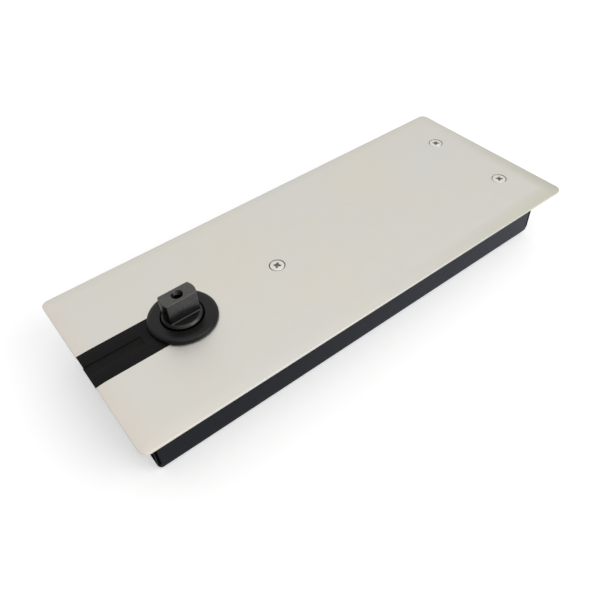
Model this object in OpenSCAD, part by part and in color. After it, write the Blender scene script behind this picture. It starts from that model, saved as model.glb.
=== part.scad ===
// Shallow hydraulic floor spring (door closer let into the floor).
// Millimetres. +X from the spindle end to the far end, +Z up.
// Origin: underside of the cement box, below the middle of the cover plate.

/* [Cover plate] */
// Length of the cover plate
plate_l = 306; // [300:1:316]
// Width of the cover plate
plate_w = 125; // [118:1:140]
// Sheet thickness of the cover plate
plate_t = 1.5; // [1.2:0.1:2]
// Corner radius of the cover plate
plate_r = 4.5; // [3:0.5:8]
// Width of the pressed rim band
rim_w = 8; // [5:0.5:11]
// How far the rim band falls towards its edge
rim_drop = 0.5; // [0.1:0.1:0.5]
// Width of the slot between the end edge and the spindle
slot_w = 25; // [22:0.5:28]
// Distance of the middle cover screw from the end edge
mid_screw_x = 122; // [118:0.5:126]
// Distance of the far cover screws from the far edge
far_screw_inset = 21.5; // [20:0.5:24]
// Spacing of the two far cover screws
far_screw_pitch = 57.5; // [44:0.5:64]
// Head diameter of the cover screws
screw_head_d = 9.3; // [8.6:0.1:10]
// Shank diameter of the cover screws
screw_d = 5; // [4:0.5:5]

/* [Cement box] */
// Space between the sides of the casting and the box
side_room = 3.4; // [2.8:0.1:5]
// Space between the nose of the casting and the box
nose_room = 4.6; // [4.2:0.1:5]
// Space between the far end of the casting and the box
far_room = 38.7; // [37:0.1:42]
// Sheet thickness of the box
box_t = 1.6; // [1.2:0.1:2]
// Radius of the upright corners, where the ends are welded on
box_r = 1.2; // [0.8:0.1:2]
// Bend radius along the bottom of the sides
side_bend_r = 3.4; // [2.8:0.1:4.5]
// Bend radius along the bottom of the ends
end_bend_r = 3.8; // [3:0.1:5]
// Distance of the box from the far edge of the cover plate
far_setback = 7.7; // [6:0.1:9]
// Height of the cover plate above the rim of the box
plate_gap = 0.5; // [0.5:0.1:1]

/* [Spindle] */
// Distance of the spindle axis from the end edge of the cover plate
spindle_setback = 58; // [57:0.5:59]
// Diameter of the neck that stands out of the plate
neck_d = 23; // [21:0.1:23.2]
// Height of the shoulder above the plate
neck_h = 4.7; // [3.5:0.1:7]
// Chamfer round the top of the neck
neck_edge = 1; // [0.4:0.1:1.2]
// Length of the tongue over its round ends
tongue_l = 20.6; // [17:0.1:20.6]
// Thickness of the tongue between its flats
tongue_t = 10; // [9:0.1:12]
// Height of the tongue above the shoulder
tongue_h = 13.6; // [11:0.2:20]
// Tapping hole in the tongue
tap_d = 6.6; // [5:0.1:6.8]
// Depth of the tapping hole
tap_depth = 16; // [12:1:20]
// Countersink at the mouth of the tapping hole
tap_sink = 0.4; // [0.2:0.1:0.6]
// Diameter of the journal inside the body
journal_d = 24; // [23:0.5:25]
// Outer diameter of the collar ring
collar_d = 39.5; // [38:0.5:43]
// Height of the collar ring above the plate
collar_h = 3; // [2.4:0.2:4]
// Gap between the neck and the collar ring
collar_gap = 0.9; // [0.7:0.1:1.4]

/* [Cam and follower] */
// Follower travel for each radian that the spindle turns
cam_lift = 7.5; // [6.5:0.1:8]
// Cam thickness
cam_t = 10; // [9:0.1:11]
// Diameter of the follower roller
roller_d = 22; // [20:0.5:23]
// Diameter of the roller pin
pin_d = 8; // [7:0.5:9]
// Space left between the cam and the roller
cam_gap = 0.2; // [0.15:0.05:0.3]

/* [Body casting] */
// Head diameter of the lid screws, which sets the wall of the casting
lid_head_d = 7; // [6.4:0.1:7.6]
// Thread diameter of the lid screws
lid_screw_d = 4; // [3:0.5:4]
// Space between the tail of the cam and the chamber
cam_room = 1.5; // [1:0.1:1.8]
// Thickness of the lid
lid_t = 4; // [3.6:0.1:5]
// Thickness of the gasket
gasket_t = 0.5; // [0.3:0.1:0.8]

/* [Cylinder and springs] */
// Cylinder bore
bore_d = 22; // [20:0.5:24]
// Wall of the cylinder block
block_wall = 3.5; // [3.2:0.1:4.5]
// Outer diameter of the springs
spring_d = 22; // [20:0.5:24]
// Wire diameter of the springs
wire_d = 4.4; // [4:0.1:4.6]
// Distance between the open coils of the springs
coil_pitch = 6.44; // [6:0.02:8]
// Diameter of the piston rod
rod_d = 11; // [9:0.5:12]
// Diameter of the spring guide rods
guide_d = 9; // [7:0.5:10]
// Diameter of the speed valves
valve_d = 8; // [7:0.5:8]

/* [Hidden] */
$fn = 96;

// Clearances: pressed or seated pieces, running fits, and plain gaps.
press_gap = 0.01;
run_gap = 0.04;
slide_gap = 0.2;
free_gap = 0.5;

// Clamps and ears that hold the casting in the box.
clamp_d = 6;
bush_d = 10;
pad_r = 7;
pad_t = 5;
lug_r = 8;
lug_t = 6;
lug_gap = 0.4;
lug_z = box_t + pad_t + lug_gap;
bush_top = lug_z + lug_t + 0.6;
washer_clamp_t = 1.2;
bolt_head_t = 4;
bolt_flats = 10;
bolt_corner_r = bolt_flats / 2 / cos(30);

// Heights of the spindle stack, from the floor of the box upwards.
body_lift = 1.4;
body_floor = 4;
body_z = box_t + body_lift;
floor_z = body_z + body_floor;
seat_floor = 3;
seat_wall = 2.5;
bearing_z = body_z + seat_floor;
bearing_w = 10;
bearing_od = 35;
bearing_bore = 17;
race_wall = 1.3;
ball_d = (bearing_od - bearing_bore) / 2 - 2 * race_wall;
balls = 8;
ball_pitch = (bearing_od + bearing_bore) / 4;
ball_z = bearing_z + bearing_w / 2;
race_land = 2;
cage_t = 1.2;
cage_h = bearing_w / 2 + 0.6;
flange_t = 1.5;
centre_r = 2.4;
flange_land = 3;
flange_d = journal_d + 2 * flange_land;
cam_z = bearing_z + bearing_w + flange_t;
cam_mid = cam_z + cam_t / 2;
washer_t = 1;
washer_land = 6;
washer_d = journal_d + 2 * washer_land;
key_w = 6;
key_in = 3.5;
key_out = 2.8;
boss_wall = 3;
boss_z = cam_z + cam_t + washer_t + slide_gap;
needle_d = 2.5;
needle_l = 4.2;
needle_count = 20;
cup_t = 0.9;
cup_h = needle_l + 1;
cup_r = journal_d / 2 + needle_d + 2 * run_gap + cup_t;
cup_z = boss_z + 0.3;
journal_top = cup_z + cup_h - 0.1;
seal_z = journal_top + 0.3;
seal_h = 2;
boss_r = cup_r + boss_wall;

// Follower fork: it clears the boss of the lid above and the seat of the bearing below.
fork_t = 4;
fork_wall = 3;
arm_r = pin_d / 2 + fork_wall;
boss_gap = 2.52;
cam_reach = arm_r + max(boss_r + boss_gap, bearing_od / 2 + seat_wall + 1);
fork_low = cam_z - slide_gap - fork_t;
fork_high = cam_z + cam_t + slide_gap;
roller_h = cam_t - 2 * slide_gap;

// Cam: the largest turn, the end of the ramp and the radius of its tail.
max_turn = 130;
travel = cam_lift * max_turn * PI / 180;
cam_last = 140;
cam_step = 5;
cam_back_r = norm(cam_point(cam_last, 1));
cam_back_a = atan2(cam_point(cam_last, 1)[1], cam_point(cam_last, 1)[0]);
cam_notch_a = atan(cam_lift / cam_reach);

// Widths, from the cylinder outwards to the box.
wall = lid_head_d + 0.5;
nose_wall = wall + 0.5;
spring_gap = 0.5;
block_half = bore_d / 2 + block_wall;
chamber_r = cam_back_r + cam_room;
body_w = 2 * max(block_half + spring_d + 2 * spring_gap + wall, chamber_r + nose_wall);
channel_half = body_w / 2 - wall;
channel_w = channel_half - block_half;
spring_y = block_half + channel_w / 2;
beam_half = channel_half - slide_gap;
box_w = body_w + 2 * (side_room + box_t);

// Heights of the cylinder, the lid and the cover plate.
cylinder_roof = 2.5;
lid_gap = 2;
drive_r = max(bore_d, spring_d) / 2;
drive_z = floor_z + spring_gap + drive_r;
lid_top = max(seal_z + seal_h + 0.1, drive_z + drive_r + cylinder_roof + gasket_t + lid_t);
lid_z = lid_top - lid_t;
body_top = lid_z - gasket_t;
plate_z = lid_top + lid_gap;
plate_top = plate_z + plate_t;
box_h = plate_z - plate_gap;

// Places along the length.
end_x = -plate_l / 2;
spindle_x = end_x + spindle_setback;
box_x = spindle_x - body_w / 2 - nose_room - box_t;
box_end = plate_l / 2 - far_setback;
box_l = box_end - box_x;
body_end = box_end - box_t - far_room;
body_reach = body_end - spindle_x;
roller_x = spindle_x + cam_reach;
roller_room = 2;
beam_x = roller_x + roller_d / 2 + roller_room;
beam_t = 12;
beam_z = floor_z + slide_gap;
beam_end = beam_x + beam_t;
rod_root = 3;
rod_root_x = beam_x + rod_root;
guide_room = 1;
gland_room = 3;
block_x = beam_end + travel + gland_room;
gland_l = 8;
end_block = 39;
wall_x = body_end - end_block;
valve_setback = 21;
valve_x = body_end - valve_setback;
plug_l = 17;
chamber_mouth = 22;

// Collar, insert and slot.
collar_r = collar_d / 2;
collar_bore_r = neck_d / 2 + collar_gap;
slot_eye_r = collar_bore_r + 2.8;
insert_t = 1.9;
insert_flange = 3;
insert_flange_t = 1.4;
recess_w = 6.7;
recess_l = 33;
recess_depth = 0.4;

// Piston, check valve and springs.
pocket_depth = 1.5;
pocket_r = spring_d / 2 + 0.3;
head_x = block_x + gland_l + 2;
head_l = 24;
relief_l = 5;
bush_r = rod_d / 2 + 2.5;
ball_check_d = 7.9;
ball_seat_d = 5;
ball_lift = 1.5;
ball_room_r = 4.5;
seat_l = 8;
seat_r = 6;
seat_face = head_x + head_l - seat_l;
// The ball rests just off its seat and lifts towards the rod.
ball_x = seat_face - sqrt(pow(ball_check_d / 2, 2) - pow(ball_seat_d / 2, 2)) - 0.1;
ball_end_x = ball_x - ball_check_d / 2 - ball_lift - 0.1;
ring_w = 2.5;
ring_depth = 2;
ring_x = head_x + relief_l + 8;
seat_disc_t = 4;
spigot_l = 4;
spring_start = beam_end - pocket_depth;
spring_stop = wall_x - seat_disc_t;
guide_thread = 12;
wire_sides = 8;
rings_per_turn = 14;
spring_l = spring_stop - spring_start;
closed_turns = 1;
open_l = spring_l - wire_d - 2 * closed_turns * (wire_d + 0.1);
open_turns = round(open_l / coil_pitch);
open_pitch = open_l / open_turns;
coils = open_turns + 2 * closed_turns;
spring_rings = coils * rings_per_turn;
plug_r = bore_d / 2 + 1;
plug_groove = 2.2;
plug_groove_x = body_end - plug_l + 2;

// Valves and galleries.
valve_y = block_half + valve_d / 2;
valve_floor = body_z + 6;
groove_z = lid_z - 6.5;
groove_h = 1.8;
groove_depth = 1.4;
gallery_r = 1.5;
port_r = 1.2;
vent_r = 2.5;
vent_setback = 11;
vent_x = wall_x - vent_setback;
gallery_y = bore_d / 2 + 0.8;
gallery_z = body_top - 3.6;
return_z = floor_z + 3;
return_y = valve_y - 2.3;
gallery_plug_r = 3;
gallery_plug_l = 5;
port_x = head_x + 4;
port_step = 4;

// Filler, lid screws and ears.
filler_x = block_x - 10;
filler_y = 26;
filler_d = 10;
filler_seal_t = 0.6;
lid_screw_l = 12;
first_screw = 10;
last_screw = 30;
screw_rows = 4;
side_pitch = (body_reach - first_screw - last_screw) / screw_rows;
nose_screw_r = body_w / 2 - nose_wall / 2;
nose_screws = [for (a = [120 : 30 : 240]) [spindle_x + nose_screw_r * cos(a), nose_screw_r * sin(a)]];
side_screws = [for (i = [0 : screw_rows], s = [-1, 1])
    [spindle_x + first_screw + i * side_pitch, s * (body_w / 2 - wall / 2)]];
end_screw_inset = 4.5;
end_screw_y = spring_y + 4;
end_screws = [for (s = [-1, 1]) [body_end - end_screw_inset, s * end_screw_y]];
lid_screw_points = concat(nose_screws, side_screws, end_screws);
lug_out = 8.74;
nose_lug = (body_w / 2 + lug_out) / sqrt(2);
rear_lug_x = 9;
rear_lug_inset = 11;
rear_lug_y = body_w / 2 - rear_lug_inset;
lug_points = [for (s = [1, -1]) each [[spindle_x - nose_lug, s * nose_lug],
    [body_end + rear_lug_x, s * rear_lug_y]]];

// Bracket under the far cover screws.
bracket_t = 2.4;
bracket_side = 10;
bracket_w = far_screw_pitch + 2 * bracket_side;
bracket_drop = 18;
bracket_margin = 8.7;
bracket_reach = far_screw_inset - far_setback - box_t + bracket_margin;
bracket_nut_r = 4.5;
bracket_nut_h = 4;
far_screw_x = plate_l / 2 - far_screw_inset;
screw_points = [[end_x + mid_screw_x, 0, 8], [far_screw_x, far_screw_pitch / 2, 12],
    [far_screw_x, -far_screw_pitch / 2, 12]];

// ---- Shared shapes ----

// Flat rectangle with round corners, centred.
module round_rect(l, w, r) {
    square([l - 2 * r, w], center = true);
    square([l, w - 2 * r], center = true);
    for (x = [-1, 1], y = [-1, 1])
        translate([x * (l / 2 - r), y * (w / 2 - r)]) circle(r);
}

// Upright rectangle with round lower corners, standing on y = 0.
module bent_section(w, h, r) {
    translate([-w / 2, r]) square([w, h - r]);
    translate([r - w / 2, 0]) square([w - 2 * r, h]);
    for (s = [-1, 1]) translate([s * (w / 2 - r), r]) circle(r);
}

// Solid tray: sides and ends bent up from the bottom, upright corners nearly sharp.
module tray(l, w, h, side_r, end_r, corner_r) {
    intersection() {
        linear_extrude(h) round_rect(l, w, corner_r);
        rotate([90, 0, 0]) linear_extrude(w + 2, center = true) bent_section(l, h, end_r);
        rotate([90, 0, 90]) linear_extrude(l + 2, center = true) bent_section(w, h, side_r);
    }
}

// Cylinder along +X.
module rod_x(r, l) {
    rotate([0, 90, 0]) cylinder(l, r, r);
}

// Countersunk head and shank, top face at z = 0, pointing down.
module countersunk(head_d, shank_d, l) {
    cone = (head_d - shank_d) / 2;
    translate([0, 0, -cone]) cylinder(cone, shank_d / 2, head_d / 2);
    translate([0, 0, -l]) cylinder(l - cone + 0.01, shank_d / 2, shank_d / 2);
}

// Room for a countersunk screw, which reaches up past its own head.
module countersunk_room(head_d, shank_d, l, gap) {
    cone = (head_d - shank_d) / 2;
    translate([0, 0, -cone]) cylinder(cone + 2, shank_d / 2 + gap, head_d / 2 + gap + 2);
    translate([0, 0, -l - 1]) cylinder(l + 1, shank_d / 2 + gap, shank_d / 2 + gap);
}

// Ring of rectangular section.
module ring(outer_r, inner_r, h) {
    difference() {
        cylinder(h, outer_r, outer_r);
        translate([0, 0, -1]) cylinder(h + 2, inner_r, inner_r);
    }
}

// Hexagon prism, measured across its corners.
module hexagon(corner_r, h) {
    cylinder(h, corner_r, corner_r, $fn = 6);
}

// ---- Cam outline ----

// Distance of the follower centre at cam angle a, in degrees.
function follower_r(a) = cam_reach + cam_lift * abs(a) * PI / 180;

// Point of the cam face under the follower at cam angle a.
function cam_point(a, side) = let (
    r = follower_r(a),
    len = norm([r, cam_lift]),
    off = roller_d / 2 + cam_gap,
    p = [r * cos(a), r * sin(a)],
    n = [(cam_lift * sin(a) + r * cos(a)) / len, (r * sin(a) - cam_lift * cos(a)) / len],
    q = p - off * n)
    [q[0], side * q[1]];

function cam_outline() = concat(
    [for (a = [0 : cam_step : cam_last]) cam_point(a, 1)],
    [for (i = [1 : 11]) let (a = cam_back_a + i * (180 - cam_back_a) / 6)
        [cam_back_r * cos(a), cam_back_r * sin(a)]],
    [for (a = [cam_last : -cam_step : 0]) cam_point(a, -1)],
    [for (i = [1 : 3]) let (a = 180 + cam_notch_a * (1 - i / 2), r = roller_d / 2 + cam_gap)
        [cam_reach + r * cos(a), r * sin(a)]]);

// ---- Cover ----

// Slot with the round eye at the spindle, grown by a margin.
module slot_shape(margin) {
    translate([end_x - 1, -slot_w / 2 - margin]) square([spindle_setback + 1, slot_w + 2 * margin]);
    translate([spindle_x, 0]) circle(slot_eye_r + margin);
}

// Sheet whose rim band falls towards the edge, from the underside up to its top.
module crowned(top, low) {
    hl = plate_l / 2;
    hw = plate_w / 2;
    intersection() {
        rotate([90, 0, 0]) linear_extrude(plate_w + 2, center = true) polygon([[-hl, low], [hl, low],
            [hl, top - rim_drop], [hl - rim_w, top], [-hl + rim_w, top], [-hl, top - rim_drop]]);
        rotate([90, 0, 90]) linear_extrude(plate_l + 2, center = true) polygon([[-hw, low], [hw, low],
            [hw, top - rim_drop], [hw - rim_w, top], [-hw + rim_w, top], [-hw, top - rim_drop]]);
    }
}

module cover_plate() {
    color([0.85, 0.84, 0.8]) difference() {
        intersection() {
            linear_extrude(plate_top + 1) round_rect(plate_l, plate_w, plate_r);
            crowned(plate_top, plate_z - rim_drop - 1);
        }
        crowned(plate_z, plate_z - rim_drop - 2);
        translate([0, 0, plate_z - 2]) linear_extrude(plate_t + 4) slot_shape(0);
        for (p = screw_points) translate([p[0], p[1], plate_top])
            countersunk_room(screw_head_d, screw_d, p[2], 0.1);
    }
}

module cover_screws() {
    cross_l = screw_head_d * 0.5;
    color([0.8, 0.79, 0.76]) for (p = screw_points) translate([p[0], p[1], plate_top]) difference() {
        countersunk(screw_head_d, screw_d, p[2]);
        for (a = [45, 135]) rotate(a) cube([cross_l, 1, 3], center = true);
    }
}

module slot_insert() {
    top = plate_top - 0.05;
    side = slot_w / 2 - 0.1;
    flange_x = box_x + box_t + free_gap;
    color([0.12, 0.12, 0.11]) difference() {
        union() {
            translate([end_x, -side, top - insert_t]) cube([spindle_setback, 2 * side, insert_t]);
            translate([flange_x, -side, plate_z - insert_flange_t])
                cube([spindle_x - flange_x, 2 * side, top - plate_z + insert_flange_t]);
            translate([flange_x, -side - insert_flange, plate_z - insert_flange_t])
                cube([spindle_x - flange_x, 2 * (side + insert_flange), insert_flange_t]);
        }
        translate([spindle_x, 0, plate_z - 3]) cylinder(8, slot_eye_r + 0.1, slot_eye_r + 0.1);
        translate([end_x - 1, -recess_w / 2, top - recess_depth]) cube([recess_l + 1, recess_w, 2]);
    }
}

module collar_ring() {
    inner = collar_bore_r;
    outer = slot_eye_r - 0.1;
    color([0.11, 0.11, 0.1]) translate([spindle_x, 0, plate_top]) rotate_extrude() union() {
        polygon([[inner, 0], [collar_r, 0], [collar_r, collar_h - 2],
            [collar_r - 0.5, collar_h - 0.7], [collar_r - 1.3, collar_h - 0.2], [collar_r - 2.3, collar_h],
            [inner + 0.6, collar_h], [inner, collar_h - 0.6]]);
        translate([inner, -plate_t]) square([outer - inner, plate_t + 0.01]);
    }
}

// ---- Cement box and what is fixed in it ----

module cement_box() {
    color([0.17, 0.18, 0.2]) translate([box_x + box_l / 2, 0, 0]) difference() {
        tray(box_l, box_w, box_h, side_bend_r, end_bend_r, box_r);
        translate([0, 0, box_t]) tray(box_l - 2 * box_t, box_w - 2 * box_t, box_h,
            side_bend_r - box_t, end_bend_r - box_t, box_r / 2);
    }
}

module box_weld_nuts() {
    color([0.6, 0.6, 0.62]) for (p = lug_points) translate([p[0], p[1], box_t]) difference() {
        union() {
            cylinder(pad_t, pad_r, pad_r);
            cylinder(1.2, pad_r + 0.8, pad_r + 0.8);
        }
        translate([0, 0, 0.4]) cylinder(pad_t, clamp_d / 2 + run_gap, clamp_d / 2 + run_gap);
    }
}

module levelling_bushes() {
    color([0.62, 0.6, 0.5]) for (p = lug_points) translate([p[0], p[1], box_t + pad_t]) difference() {
        cylinder(bush_top - box_t - pad_t, bush_d / 2, bush_d / 2);
        translate([0, 0, -1]) cylinder(bush_top, clamp_d / 2 + 0.2, clamp_d / 2 + 0.2);
    }
}

module clamp_washers() {
    color([0.7, 0.7, 0.7]) for (p = lug_points) translate([p[0], p[1], bush_top])
        ring(bush_d / 2 + 1, clamp_d / 2 + 0.2, washer_clamp_t);
}

module clamp_bolts() {
    head_z = bush_top + washer_clamp_t;
    color([0.65, 0.66, 0.68]) for (p = lug_points) translate([p[0], p[1], 0]) {
        translate([0, 0, box_t + 0.8]) cylinder(head_z - box_t - 0.8, clamp_d / 2, clamp_d / 2);
        intersection() {
            translate([0, 0, head_z]) hexagon(bolt_corner_r, bolt_head_t);
            translate([0, 0, head_z]) cylinder(bolt_head_t, bolt_corner_r + bolt_head_t - 0.6,
                bolt_corner_r - 0.6);
        }
    }
}

module plate_bracket() {
    out_x = box_end - box_t - 0.05;
    color([0.55, 0.56, 0.58]) difference() {
        union() {
            translate([out_x - bracket_reach, -bracket_w / 2, plate_z - bracket_t])
                cube([bracket_reach, bracket_w, bracket_t]);
            translate([out_x - bracket_t, -bracket_w / 2, plate_z - bracket_drop])
                cube([bracket_t, bracket_w, bracket_drop]);
            for (s = [-1, 1]) translate([far_screw_x, s * far_screw_pitch / 2, 0])
                translate([0, 0, plate_z - bracket_t - bracket_nut_h])
                    cylinder(bracket_nut_h + 0.1, bracket_nut_r, bracket_nut_r);
        }
        for (p = screw_points) translate([p[0], p[1], plate_top])
            countersunk_room(screw_head_d, screw_d, p[2], run_gap);
        // The outer edge is dressed down to clear the falling rim of the plate.
        translate([plate_l / 2 - rim_w - 0.5, -bracket_w / 2 - 1, plate_z - rim_drop - 0.1])
            cube([rim_w, bracket_w + 2, rim_drop + 1]);
    }
}

// ---- Body casting, gasket and lid ----

module body_outline() {
    corner = 6;
    translate([spindle_x, 0]) circle(body_w / 2);
    translate([spindle_x, -body_w / 2]) square([body_reach - corner, body_w]);
    translate([body_end - corner, -body_w / 2 + corner]) square([corner, body_w - 2 * corner]);
    for (s = [-1, 1]) translate([body_end - corner, s * (body_w / 2 - corner)]) circle(corner);
}

// Open space inside the casting, seen from above.
module cavity_outline() {
    translate([spindle_x, 0]) circle(chamber_r);
    translate([spindle_x + chamber_mouth, -channel_half])
        square([block_x - spindle_x - chamber_mouth, 2 * channel_half]);
    for (s = [-1, 1]) translate([block_x - 1, s * spring_y - channel_w / 2])
        square([wall_x - block_x + 1, channel_w]);
}

// Four ears, each with the thinner web that joins it to the casting.
module body_lugs() {
    web_half = lug_r - 2.5;
    web_t = lug_t - 1;
    root = 3;
    for (p = lug_points) translate([p[0], p[1], lug_z]) cylinder(lug_t, lug_r, lug_r);
    for (s = [-1, 1]) translate([0, 0, lug_z + 0.5]) {
        translate([spindle_x, 0, 0]) rotate(s * 135) translate([body_w / 2 - root, -web_half, 0])
            cube([nose_lug * sqrt(2) - web_half - body_w / 2 + root, 2 * web_half, web_t]);
        translate([body_end - root, s * rear_lug_y - web_half, 0])
            cube([rear_lug_x + root - web_half, 2 * web_half, web_t]);
    }
}

module galleries() {
    for (s = [-1, 1]) {
        // Long gallery over the cylinder, drilled from the far end.
        translate([port_x - 4, s * gallery_y, gallery_z]) rod_x(gallery_r, body_end - port_x + 5);
        // Port from the long gallery down into the cylinder.
        translate([port_x + (s < 0 ? port_step : 0), s * (gallery_y - 2), drive_z])
            cylinder(body_top - drive_z + 1, port_r, port_r);
        // Cross gallery to the valve, drilled from the side.
        translate([valve_x, s * (gallery_y - 0.6), gallery_z]) rotate([-90 * s, 0, 0])
            cylinder(body_w / 2 - gallery_y + 1.6, port_r, port_r);
        // Return gallery from the foot of the valve to the spring channel.
        translate([wall_x - 1, s * return_y, return_z]) rod_x(gallery_r, body_end - wall_x + 2);
        // Vent from the far side of the piston to the spring channel.
        translate([vent_x, s * (bore_d / 2 - 1), drive_z]) rotate([-90 * s, 0, 0])
            cylinder(block_wall + 2, vent_r, vent_r);
    }
    for (p = gallery_ends()) translate(p[0]) rotate(p[1])
        translate([0, 0, -gallery_plug_l]) cylinder(gallery_plug_l + 1, gallery_plug_r, gallery_plug_r);
}

// Mouth of each drilled gallery and the turn that points +Z out of it.
function gallery_ends() = [for (s = [-1, 1]) each [
    [[body_end, s * gallery_y, gallery_z], [0, 90, 0]],
    [[body_end, s * return_y, return_z], [0, 90, 0]],
    [[valve_x, s * body_w / 2, gallery_z], [-90 * s, 0, 0]]]];

module body_casting() {
    color([0.42, 0.43, 0.43]) difference() {
        union() {
            translate([0, 0, body_z]) linear_extrude(body_top - body_z) body_outline();
            body_lugs();
        }
        difference() {
            translate([0, 0, floor_z]) linear_extrude(body_top - floor_z + 1) cavity_outline();
            translate([spindle_x, 0, 0]) cylinder(bearing_z + bearing_w - 0.5,
                bearing_od / 2 + seat_wall, bearing_od / 2 + seat_wall);
        }
        translate([spindle_x, 0, bearing_z])
            cylinder(bearing_w + 1, bearing_od / 2 + press_gap, bearing_od / 2 + press_gap);
        translate([block_x + gland_l, 0, drive_z]) rod_x(bore_d / 2, body_end - block_x);
        translate([block_x - 1, 0, drive_z]) rod_x(bush_r + press_gap, gland_l + 2);
        translate([body_end - plug_l, 0, drive_z]) rod_x(plug_r + run_gap, plug_l + 1);
        for (s = [-1, 1]) {
            translate([wall_x - 1, s * spring_y, drive_z]) rod_x(guide_d / 2 + run_gap, guide_thread + 1);
            translate([valve_x, s * valve_y, valve_floor])
                cylinder(body_top, valve_d / 2 + run_gap, valve_d / 2 + run_gap);
        }
        for (p = lid_screw_points) translate([p[0], p[1], lid_top - lid_screw_l - 0.5])
            cylinder(lid_screw_l, lid_screw_d / 2 + run_gap, lid_screw_d / 2 + run_gap);
        for (p = lug_points) translate([p[0], p[1], lug_z - 1])
            cylinder(lug_t + 2, bush_d / 2 + run_gap, bush_d / 2 + run_gap);
        galleries();
    }
}

module body_gasket() {
    color([0.3, 0.34, 0.3]) translate([0, 0, body_top]) linear_extrude(gasket_t) difference() {
        body_outline();
        cavity_outline();
        for (p = lid_screw_points) translate(p) circle(lid_screw_d / 2 + 0.2);
        for (s = [-1, 1]) translate([valve_x, s * valve_y]) circle(valve_d / 2 + 0.5);
    }
}

module body_lid() {
    mid = screw_points[0];
    color([0.5, 0.51, 0.52]) difference() {
        union() {
            translate([0, 0, lid_z]) linear_extrude(lid_t) body_outline();
            translate([spindle_x, 0, boss_z]) cylinder(lid_z - boss_z + 0.1, boss_r, boss_r);
            translate([mid[0], mid[1], lid_top - 0.1]) cylinder(lid_gap + 0.1, 7, 7);
        }
        translate([spindle_x, 0, boss_z - 1])
            cylinder(lid_top - boss_z + 2, cup_r + press_gap, cup_r + press_gap);
        for (p = lid_screw_points) translate([p[0], p[1], lid_top])
            countersunk_room(lid_head_d, lid_screw_d, lid_screw_l, 0.1);
        translate([mid[0], mid[1], plate_top]) countersunk_room(screw_head_d, screw_d, mid[2], run_gap);
        for (s = [-1, 1]) translate([valve_x, s * valve_y, lid_z - 1])
            cylinder(lid_t + 2, valve_d / 2 + 0.5, valve_d / 2 + 0.5);
        translate([filler_x, filler_y, lid_z - 1])
            cylinder(lid_t + 2, filler_d / 2 + run_gap, filler_d / 2 + run_gap);
    }
}

module lid_screws() {
    color([0.25, 0.25, 0.26]) for (p = lid_screw_points) translate([p[0], p[1], lid_top]) difference() {
        countersunk(lid_head_d, lid_screw_d, lid_screw_l);
        translate([0, 0, -1.8]) hexagon(1.45, 3);
    }
}

// ---- Spindle, cam and bearings ----

module spindle() {
    neck_top = plate_top + neck_h;
    top = neck_top + tongue_h;
    neck_r = neck_d / 2;
    end_r = tongue_l / 2;
    journal_r = journal_d / 2;
    race_r = bearing_bore / 2;
    edge = 0.5;
    color([0.3, 0.3, 0.29]) translate([spindle_x, 0, 0]) difference() {
        union() {
            rotate_extrude() polygon([[0, bearing_z + free_gap], [race_r - edge, bearing_z + free_gap],
                [race_r, bearing_z + free_gap + edge], [race_r, bearing_z + bearing_w],
                [flange_d / 2, bearing_z + bearing_w], [flange_d / 2, cam_z], [journal_r, cam_z],
                [journal_r, journal_top - edge], [journal_r - edge, journal_top], [neck_r, journal_top],
                [neck_r, neck_top - neck_edge], [neck_r - neck_edge * 0.4, neck_top - neck_edge * 0.3],
                [neck_r - neck_edge, neck_top], [0, neck_top]]);
            intersection() {
                translate([0, 0, neck_top - neck_edge]) rotate_extrude() polygon([[0, 0], [end_r, 0],
                    [end_r, tongue_h + neck_edge - edge], [end_r - edge, tongue_h + neck_edge],
                    [0, tongue_h + neck_edge]]);
                translate([-neck_d, -tongue_t / 2, neck_top - neck_edge])
                    cube([2 * neck_d, tongue_t, tongue_h + 2 * neck_edge]);
            }
        }
        tapping_hole(top);
        translate([-journal_r - 1, -key_w / 2 - press_gap, cam_z])
            cube([1 + key_in + press_gap, key_w + 2 * press_gap, cam_t + 0.01]);
        translate([0, 0, bearing_z]) cylinder(bearing_w / 2 - 1, centre_r, 0.4);
    }
}

// Tapping hole with its drill point and a countersunk mouth.
module tapping_hole(top) {
    r = tap_d / 2;
    translate([0, 0, top - tap_depth]) cylinder(tap_depth + 1, r, r);
    translate([0, 0, top - tap_depth - r * 0.6]) cylinder(r * 0.6 + 0.01, 0.2, r);
    translate([0, 0, top - tap_sink]) cylinder(2 * tap_sink, r, r + 2 * tap_sink);
}

module cam() {
    color([0.52, 0.53, 0.55]) translate([spindle_x, 0, cam_z]) difference() {
        linear_extrude(cam_t) polygon(cam_outline());
        translate([0, 0, -1]) cylinder(cam_t + 2, journal_d / 2 + press_gap, journal_d / 2 + press_gap);
        translate([-journal_d / 2 - key_out - press_gap, -key_w / 2 - press_gap, -1])
            cube([journal_d / 2, key_w + 2 * press_gap, cam_t + 2]);
    }
}

module cam_key() {
    color([0.6, 0.58, 0.5]) translate([spindle_x - journal_d / 2 - key_out, -key_w / 2, cam_z])
        cube([key_in + key_out, key_w, cam_t]);
}

module thrust_washer() {
    color([0.72, 0.6, 0.35]) translate([spindle_x, 0, cam_z + cam_t])
        ring(washer_d / 2, journal_d / 2 + run_gap, washer_t);
}

// Torus that the balls run in.
module ball_track() {
    translate([0, 0, bearing_w / 2]) rotate_extrude() translate([ball_pitch, 0]) circle(ball_d / 2 + run_gap);
}

module lower_outer_race() {
    color([0.7, 0.71, 0.73]) translate([spindle_x, 0, bearing_z]) difference() {
        ring(bearing_od / 2, ball_pitch + race_land, bearing_w - 0.3);
        ball_track();
    }
}

module lower_inner_race() {
    color([0.7, 0.71, 0.73]) translate([spindle_x, 0, bearing_z + 0.3]) difference() {
        ring(ball_pitch - race_land, bearing_bore / 2 + press_gap, bearing_w - 0.3);
        translate([0, 0, -0.3]) ball_track();
    }
}

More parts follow.
